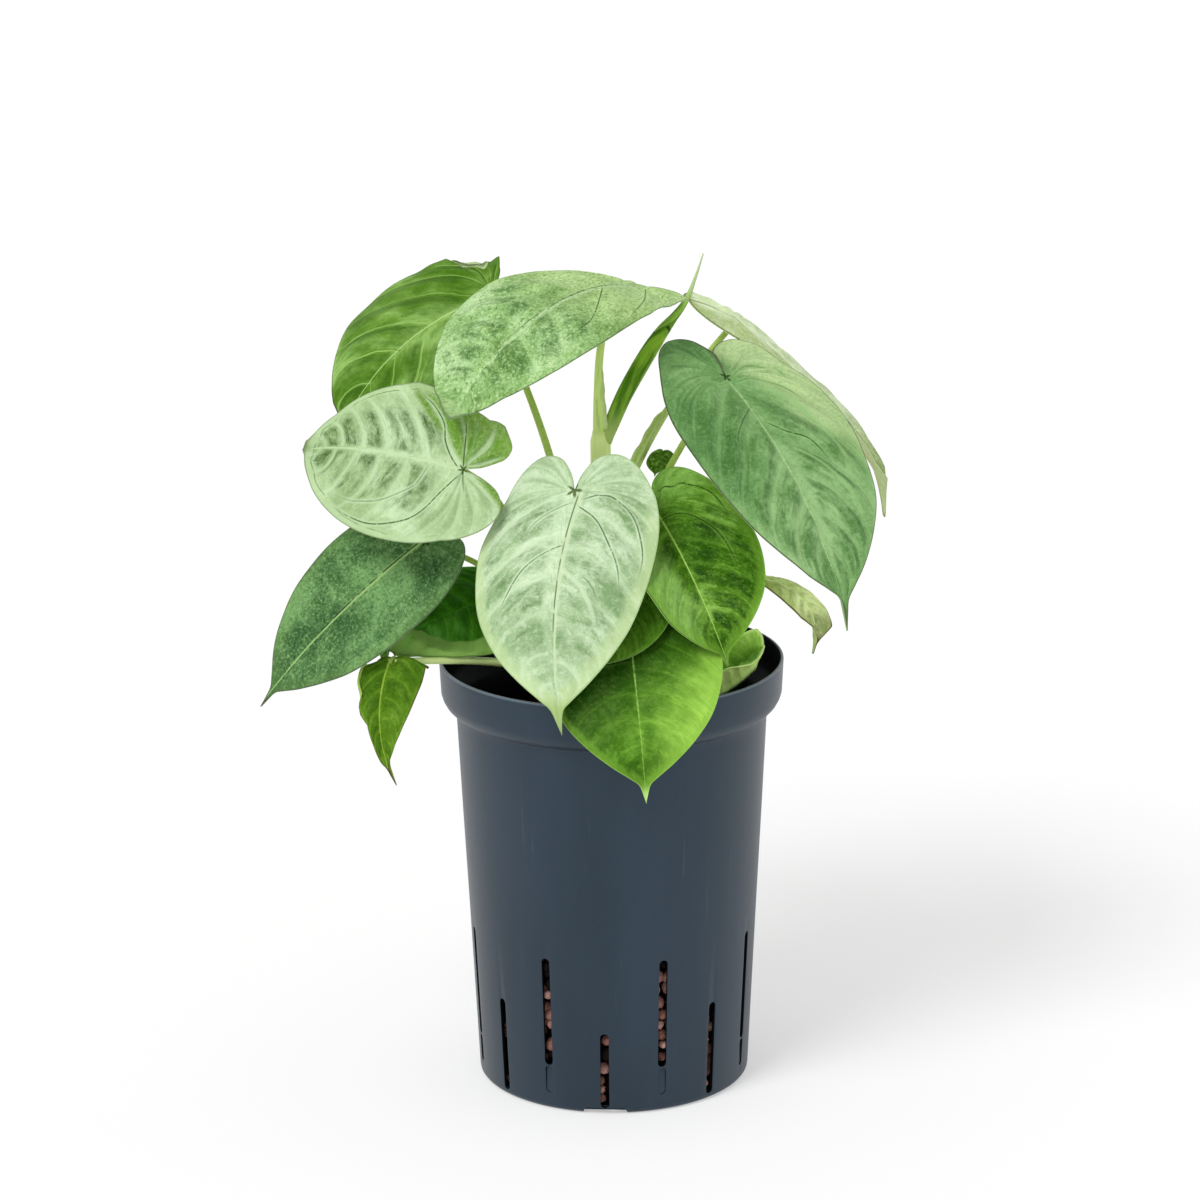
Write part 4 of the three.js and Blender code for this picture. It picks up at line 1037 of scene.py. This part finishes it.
SPEAR_PATH = [
    (-2, 4.6, 285), (0.2, 5.2, 291.5), (7.8, 7.6, 308), (20.8, 12, 329), (32.2, 15.8, 343), (37.2, 18.6, 354),
    (40.6, 20, 364),
]
SPEAR_RADII = [3.2, 3.7, 3.9, 4.0, 4.1, 4.2, 4.2, 4.1, 3.8, 3.1, 2.1, 1.6, 1.2, 0.8, 0.5, 0.3]


def spear_piece():
    """The leaf still rolled up: one sheet wound round, whose free edge turns as it rises."""
    share = np.linspace(0, 1, 120)[:, None]
    radius = np.interp(share, np.linspace(0, 1, len(SPEAR_RADII)), SPEAR_RADII)
    seam = -1.25 + 2.6 * smooth(share, 0.5, 0.75)
    wound = ((corners(48) - seam) / FULL_TURN) % 1
    radii = radius * (1 - 0.13 * wound - 0.05 * smooth(1 - wound, 0.0, 0.06))
    f = Finish("spear", roughness=0.45, specular=0.15)
    along, edge, _ = f.read("tube")
    fibres = f.noise(f.join(f.times(edge, 9), f.times(along, 5), 3.0), 1.0, 3)
    f.body = f.mix(f.step(fibres, 0.35, 0.65), "4c7c08", "8ebc36")
    f.lay("b4cc74", f.step(along, 0.2, 0.02))
    f.lay("9cc45c", f.step(edge, 0.55, 0.95), 0.45)
    f.lay("a9bd84", f.step(along, 0.72, 0.86))
    ledge = f.math("MINIMUM", edge, f.less(1.0, edge))
    f.lay("1c3a10", f.step(ledge, 0.035, 0.008), 0.85, f.step(along, 0.16, 0.25))
    fold = f.less(f.plus(along, f.swing(edge, 0.07)), f.plus(0.575, f.times(fibres, 0.02)))
    f.lay("16300c", f.step(f.size(fold), 0.011, 0.004), 0.9)
    material = f.done(f.noise(f.place, 1500), 0.2, 0.4)
    tube_piece("rolled_leaf", "spear_leaf", "spear_leaf", material, curve_through(SPEAR_PATH, 119), radii,
               (0, -1, 0), share, wound, wound)


# Pot

POT_SEGMENTS = 160
SLOT_COUNT, SLOT_WIDTH, FRONT_SLOT_ANGLE = 15, 3.8, -94
SLOT_HEIGHTS = {"low": (3, 38), "mid": (3, 46), "high": (21, 71)}
SLOT_ORDER = ("low", "high", "mid", "high", "low", "high", "mid", "high")
GROOVE_BOTTOM, GROOVE_DEPTH = 8, 0.5
DRAIN_COUNT, DRAIN_CIRCLE = 6, 34
BEVEL = 0.3
OUTER = [
    (56.5, 0), (57.6, 0.25), (58.6, 0.9), (59.3, 1.8), (59.5, 3), (61.3, 40), (63.3, 80), (65.4, 120),
    (67.6, 164), (67.8, 167.4), (68.1, 168.2), (69.4, 169), (71.1, 169.9), (72.5, 171.4), (73.6, 173.4),
    (74.2, 175.4), (74.5, 181), (74.8, 187), (74.95, 189.2), (74.85, 189.8), (74.5, 190),
]
INNER = [
    (74, 190), (73.6, 189.8), (73.45, 189.2), (73.1, 182), (72.7, 176.4), (71.2, 174), (68, 171.4),
    (66.3, 169.4), (65.6, 156), (61.6, 75), (58.1, 6), (57.6, 3.6), (56.2, 1.9), (38, 1.8), (14, 1.8),
    (0, 1.8),
]
RIGHT, BACK, UP = np.eye(3)


def at_angle(angle):
    return np.array([math.cos(angle), math.sin(angle), 0])


def slots():
    """Each slot's angle and heights, in the order round the pot."""
    for i in range(SLOT_COUNT):
        kind = SLOT_ORDER[min(i, SLOT_COUNT - i)]
        yield math.radians(FRONT_SLOT_ANGLE + 360 / SLOT_COUNT * i), kind, *SLOT_HEIGHTS[kind]


def drains():
    return [math.radians(60 * (i + 0.5)) for i in range(DRAIN_COUNT)]


def lathe(profile, segments):
    """A closed body turned round the vertical axis; the profile starts and ends on the axis."""
    turn = corners(segments)
    middle = profile[1:-1]
    points = [(r * math.cos(a), r * math.sin(a), z) for r, z in middle for a in turn]
    index = np.arange(len(points)).reshape(-1, segments)
    turned = np.roll(index, -1, 1)
    faces = np.stack([index[:-1], turned[:-1], turned[1:], index[1:]], -1).reshape(-1, 4).tolist()
    for (r, z), ring, order in ((profile[0], 0, (0, 2, 1)), (profile[-1], -1, (0, 1, 2))):
        fan = [(len(points), a, b) for a, b in zip(index[ring], turned[ring])]
        faces += [tuple(face[k] for k in order) for face in fan]
        points.append((0, 0, z))
    return points, faces


def prism(outline, across, up, way, start, end, origin=0):
    """An outline in the directions across and up, carried from start to end."""
    points = [origin + way * d + across * u + up * v for d in (start, end) for u, v in outline]
    n = len(outline)
    sides = [(i, (i + 1) % n, n + (i + 1) % n, n + i) for i in range(n)]
    return points, [list(range(n))[::-1], list(range(n, 2 * n)), *sides]


def through_wall(outline, angle, start, end):
    return prism(outline, np.array([-math.sin(angle), math.cos(angle), 0]), UP, at_angle(angle), start, end)


def round_ended(bottom, top, width):
    r = width / 2
    upper = [(r * math.cos(a), top - r + r * math.sin(a)) for a in np.linspace(0, math.pi, 7)]
    lower = [(r * math.cos(a), bottom + r + r * math.sin(a)) for a in np.linspace(math.pi, FULL_TURN, 7)]
    return upper + lower


def pot_cutters():
    """What is cut from the pot, in three groups: slots with their grooves, notches and drain holes."""
    cut_slots = []
    groove_floor = np.interp(GROOVE_BOTTOM, [3, 168], [59.5, 67.8]) - GROOVE_DEPTH
    for angle, kind, bottom, top in slots():
        cut_slots.append(through_wall(round_ended(bottom, top, SLOT_WIDTH), angle, 47.5, 80))
        if kind == "high":
            groove = round_ended(GROOVE_BOTTOM, bottom - 0.4, SLOT_WIDTH - 0.2)
            cut_slots.append(through_wall(groove, angle, groove_floor, 80))
    notch = [(-9.5, -3), (9.5, -3), (9.5, 1.4), (8.2, 3), (-8.2, 3), (-9.5, 1.4)]
    notches = [through_wall(notch, math.radians(FRONT_SLOT_ANGLE + 120 * i), 53.5, 65.5) for i in range(3)]
    ring = [(4 * math.cos(a), 4 * math.sin(a)) for a in corners(24)]
    holes = [prism(ring, RIGHT, BACK, UP, -3, 5, DRAIN_CIRCLE * at_angle(angle)) for angle in drains()]
    return {"slots": cut_slots, "notches": notches, "drains": holes}


def pot_finish():
    f = Finish("pot", roughness=0.4, specular=0.28)
    x, y, z = f.parts(f.place)
    nx, ny, _ = f.parts(f.node("NewGeometry").outputs["True Normal"])
    outward = f.plus(f.times(x, nx), f.times(y, ny))
    drift = f.lengthwise(0.25, 22, 3)
    fine = f.noise(f.place, 2600, 2, 0.6)
    f.body = f.mix(f.step(drift, 0.35, 0.65), "18202b", "202936")
    f.lay("34434f", f.step(fine, 0.5, 0.75), 0.2)
    f.lay("4d5c66", f.step(f.lengthwise(0.05, 240, 3, 0.7), 0.64, 0.74), 0.15)
    # a painted highlight along the top of the rim
    f.lay("7f8c94", f.step(z, 0.1888, 0.1897), 0.45)

    # painted shade: the inner wall and the cut faces of the slots lie in shade, so they are painted near
    # black and reflect less
    inner_wall = f.times(f.step(outward, 0.0, -0.01), f.step(z, 0.001, 0.002))
    cut_faces = f.times(f.step(outward, 0.03, 0.015), f.step(z, 0.002, 0.004), f.step(z, 0.08, 0.075), 0.9)
    inside = f.math("MAXIMUM", inner_wall, cut_faces)
    f.lay("060606", inside)
    f.shade("Specular IOR Level", f.less(0.5, f.times(inside, 0.46)))
    f.shade("Specular Tint", (0.62, 0.86, 1.0, 1.0))
    f.shade("Roughness", f.plus(0.32, f.times(drift, 0.16)))
    return f.done(f.plus(fine, f.times(drift, 0.6)), 0.12, 0.5)


def square_up(mesh):
    """Joins doubled points and turns all faces outward."""
    work = bmesh.new()
    work.from_mesh(mesh)
    bmesh.ops.remove_doubles(work, verts=work.verts, dist=1e-7)
    bmesh.ops.recalc_face_normals(work, faces=work.faces)
    work.to_mesh(mesh)
    work.free()


def pot_piece():
    points, faces = lathe([(0, 0), *OUTER, *INNER], POT_SEGMENTS)
    pot = mesh_piece("culture_pot_shell", "culture_pot", points, faces, pot_finish())
    square_up(pot.data)
    cutters = []
    for group, parts in pot_cutters().items():
        points, faces = [], []
        for part_points, part_faces in parts:
            faces += [[len(points) + i for i in face] for face in part_faces]
            points += part_points
        cutter = new_mesh(group, points, faces)
        square_up(cutter.data)
        cutters.append(cutter)
        cut = pot.modifiers.new(group, "BOOLEAN")
        cut.operation, cut.object, cut.solver = "DIFFERENCE", cutter, "EXACT"
    bevel = pot.modifiers.new("bevel", "BEVEL")
    bevel.width, bevel.segments = BEVEL * MM, 2
    bevel.limit_method, bevel.angle_limit = "ANGLE", math.radians(50)
    bpy.context.view_layer.update()
    graph = bpy.context.evaluated_depsgraph_get()
    result = bpy.data.meshes.new_from_object(pot.evaluated_get(graph))
    pot.modifiers.clear()
    pot.data = result
    for cutter in cutters:
        bpy.data.objects.remove(cutter)
    result.polygons.foreach_set("use_smooth", [True] * len(result.polygons))
    result.set_sharp_from_angle(angle=math.radians(40))


# Granules

BED_LEVEL, BED_RADIUS = 154.2, 65
PEBBLE_STEP, PEBBLE_ROW = 7.6, 6.6  # from one top pebble to the next, and from row to row
CLEAR_LEVEL, SHOOT_CLEARANCE = 156, 4.6  # where top pebbles make way for the shoots, and how far
WALL_HEIGHTS, WALL_RADII = (4.8, 170), (58, 66.3)  # the pot's inner face, low and high
DRAIN_PEBBLES = ((0, 1.6), (2.6, -1.5), (-2.7, -1.2))
CORE = [(0, 5.6), (50, 5.6), (52.6, 8), (59, 153), (0, 153)]


def granule_finish():
    f = Finish("granules", roughness=0.95, specular=0.15)
    tone = f.read("pebble")[0]
    pores = f.noise(f.place, 900, 4, 0.7)
    f.body = f.mix(f.step(tone, 0.0, 0.6), "5a3730", "94665a")
    f.lay("c4988c", f.step(tone, 0.6, 1.0))
    f.lay("c49a88", f.step(pores, 0.5, 0.72), 0.6)
    f.lay("2a140e", f.step(pores, 0.42, 0.3), 0.7)
    f.lay("120b09", f.step(tone, 0.44, 0.36))
    return f.done(pores, 0.6, 0.9)


def scatter(name, spots, detail, seed, material):
    """Irregular pebbles at (x, y, z, radius)."""
    rng = np.random.default_rng(seed)
    work = bmesh.new()
    bmesh.ops.create_icosphere(work, subdivisions=detail, radius=1)
    shape = np.array([v.co for v in work.verts])
    faces = np.array([[v.index for v in face.verts] for face in work.faces])
    work.free()
    all_points, all_faces, tones = [], [], []
    for x, y, z, radius in spots:
        turn = np.linalg.qr(rng.normal(size=(3, 3)))[0]
        if np.linalg.det(turn) < 0:
            turn[:, 0] *= -1
        waves = rng.normal(size=(5, 3)) * 1.6
        lump = 1 + 0.09 * sum(np.sin(shape @ w + p) for w, p in zip(waves, rng.uniform(0, 6, 5)))
        body = shape * lump[:, None] * rng.uniform(0.78, 1.12, 3)
        all_faces.append(faces + len(shape) * len(all_points))
        all_points.append(body @ turn.T * radius + np.array([x, y, z]))
        tones.append(np.full((len(shape), 3), rng.uniform(0, 1)))
    mesh_piece(name, "clay_granules", np.concatenate(all_points), np.concatenate(all_faces),
               material, {"pebble": np.concatenate(tones)})


def shoot_at(stem, level):
    """Where the middle of a shoot is at a level, in x and y."""
    foot, top = np.array(stem["foot"], float), np.array(stem["top"], float)
    return foot[:2] + (top[:2] - foot[:2]) * (level - foot[2]) / (top[2] - foot[2])


def top_spots(rng):
    """Pebbles over the bed's top, clear of the shoots."""
    shoots = [shoot_at(stem, CLEAR_LEVEL) for stem in STEMS.values()]
    for i in range(-10, 11):
        for j in range(-11, 12):
            spot = np.array([PEBBLE_STEP * (i + 0.5 * (j % 2)), PEBBLE_ROW * j]) + rng.uniform(-1.3, 1.3, 2)
            radius = rng.uniform(3.3, 4.9)
            free = all(np.linalg.norm(spot - shoot) > SHOOT_CLEARANCE + radius * 0.7 for shoot in shoots)
            if free and np.linalg.norm(spot) < BED_RADIUS - radius:
                yield *spot, BED_LEVEL + rng.uniform(-1.2, 1.4) - max(0, radius - 4.4), radius


def wall_spots(rng):
    """Pebbles behind the slots and over the drain holes."""
    for angle, _, bottom, top in slots():
        z = bottom + 3.2
        while z < top + 4:
            radius = rng.uniform(1.7, 3.2)
            inner = np.interp(z, WALL_HEIGHTS, WALL_RADII)
            away = inner - radius - rng.uniform(0.2, 1.4)
            turn = angle + rng.uniform(-2.2, 2.2) / away
            yield away * math.cos(turn), away * math.sin(turn), z, radius
            for shift in (-5.5, 5.5):
                back = away - rng.uniform(0.5, 2)
                turn = angle + (shift + rng.uniform(-1, 1)) / back
                yield back * math.cos(turn), back * math.sin(turn), z + rng.uniform(-2, 2), radius + 0.6
            z += radius * 1.5 + rng.uniform(0.6, 2.4)
    for angle in drains():
        x, y, _ = DRAIN_CIRCLE * at_angle(angle)
        for right, behind in DRAIN_PEBBLES:
            yield x + right, y + behind, 5.2, 2.6


def granule_pieces():
    material = granule_finish()
    rng = np.random.default_rng(11)
    scatter("clay_granules_top", list(top_spots(rng)), 3, 5, material)
    scatter("clay_granules_sides", list(wall_spots(rng)), 2, 6, material)
    # the bed under the pebbles, painted near black: painted shade of the deep gaps between the granules
    f = Finish("granule_core_shade", roughness=1.0, specular=0.05)
    pores = f.noise(f.place, 300, 4, 0.7)
    f.body = f.mix(f.step(pores, 0.4, 0.7), "120a08", "2e1a13")
    points, faces = lathe(CORE, 64)
    mesh_piece("clay_granules_core", "clay_granules", points, faces, f.done(pores, 2, 1.0))


# Make the object

pot_piece()
granule_pieces()
stem_material, stalk_material = stem_finish(), stalk_finish()
for name, stem in STEMS.items():
    stem_piece(name, stem, stem_material)
for name, leaf in LEAVES.items():
    stalk_piece(name, leaf, stalk_material)
    leaf_piece(name, leaf, LOOKS[name])
spear_piece()

# Floor, light and camera

FLOOR = 14000
floor_corners = [(-FLOOR, -FLOOR, 0), (FLOOR, -FLOOR, 0), (FLOOR, FLOOR, 0), (-FLOOR, FLOOR, 0)]
floor = new_mesh("floor", floor_corners, [range(4)])
f = Finish("floor", roughness=0.9, specular=0.05)
f.shade("Base Color", f.mix(f.noise(f.place, 3), "c6c6c6", "cbcbcb"))
f.shade("Emission Color", (1, 1, 1, 1))
f.shade("Emission Strength", 0.4)
floor.data.materials.append(f.material)

# A studio that is bright round the horizon and softer overhead

scene = bpy.context.scene
world = bpy.data.worlds.new("studio")
scene.world = world
world.use_nodes = True
sky, links = world.node_tree.nodes, world.node_tree.links
direction = sky.new("ShaderNodeTexCoord")
parts = sky.new("ShaderNodeSeparateXYZ")
fall = sky.new("ShaderNodeMapRange")
fall.interpolation_type = "SMOOTHSTEP"
for socket, value in (("From Min", 0.15), ("From Max", 0.75), ("To Min", 1.3), ("To Max", 0.5)):
    fall.inputs[socket].default_value = value
links.new(direction.outputs["Generated"], parts.inputs[0])
links.new(parts.outputs[2], fall.inputs["Value"])
links.new(fall.outputs[0], sky["Background"].inputs[1])
sky["Background"].inputs[0].default_value = (1, 1, 1, 1)

sun_data = bpy.data.lights.new("key", "SUN")
sun_data.energy, sun_data.angle = 1.7, math.radians(24)
sun = bpy.data.objects.new("key", sun_data)
scene.collection.objects.link(sun)
sun.rotation_mode = "QUATERNION"
sun.rotation_quaternion = Vector((-0.5, -0.62, 0.85)).to_track_quat("Z", "Y")

TARGET, DISTANCE, ELEVATION, ROLL, LENS = (-4.75, 0, 215.43), 2057.3, 16.19, -0.42, 142.4
e, r = math.radians(ELEVATION), math.radians(ROLL)
back = Vector((0, -math.cos(e), math.sin(e)))
right, up = Vector((1, 0, 0)), Vector((0, math.sin(e), math.cos(e)))
camera_right = right * math.cos(r) + up * math.sin(r)
camera_up = up * math.cos(r) - right * math.sin(r)
camera_data = bpy.data.cameras.new("camera")
camera_data.sensor_width, camera_data.lens = 36, LENS
camera_data.clip_start, camera_data.clip_end = 0.1, 60
camera = bpy.data.objects.new("camera", camera_data)
scene.collection.objects.link(camera)
turned = Matrix((camera_right, camera_up, back)).transposed().to_4x4()
camera.matrix_world = Matrix.Translation((Vector(TARGET) + back * DISTANCE) * MM) @ turned
bpy.context.scene.camera = camera
scene.view_settings.view_transform = "Standard"
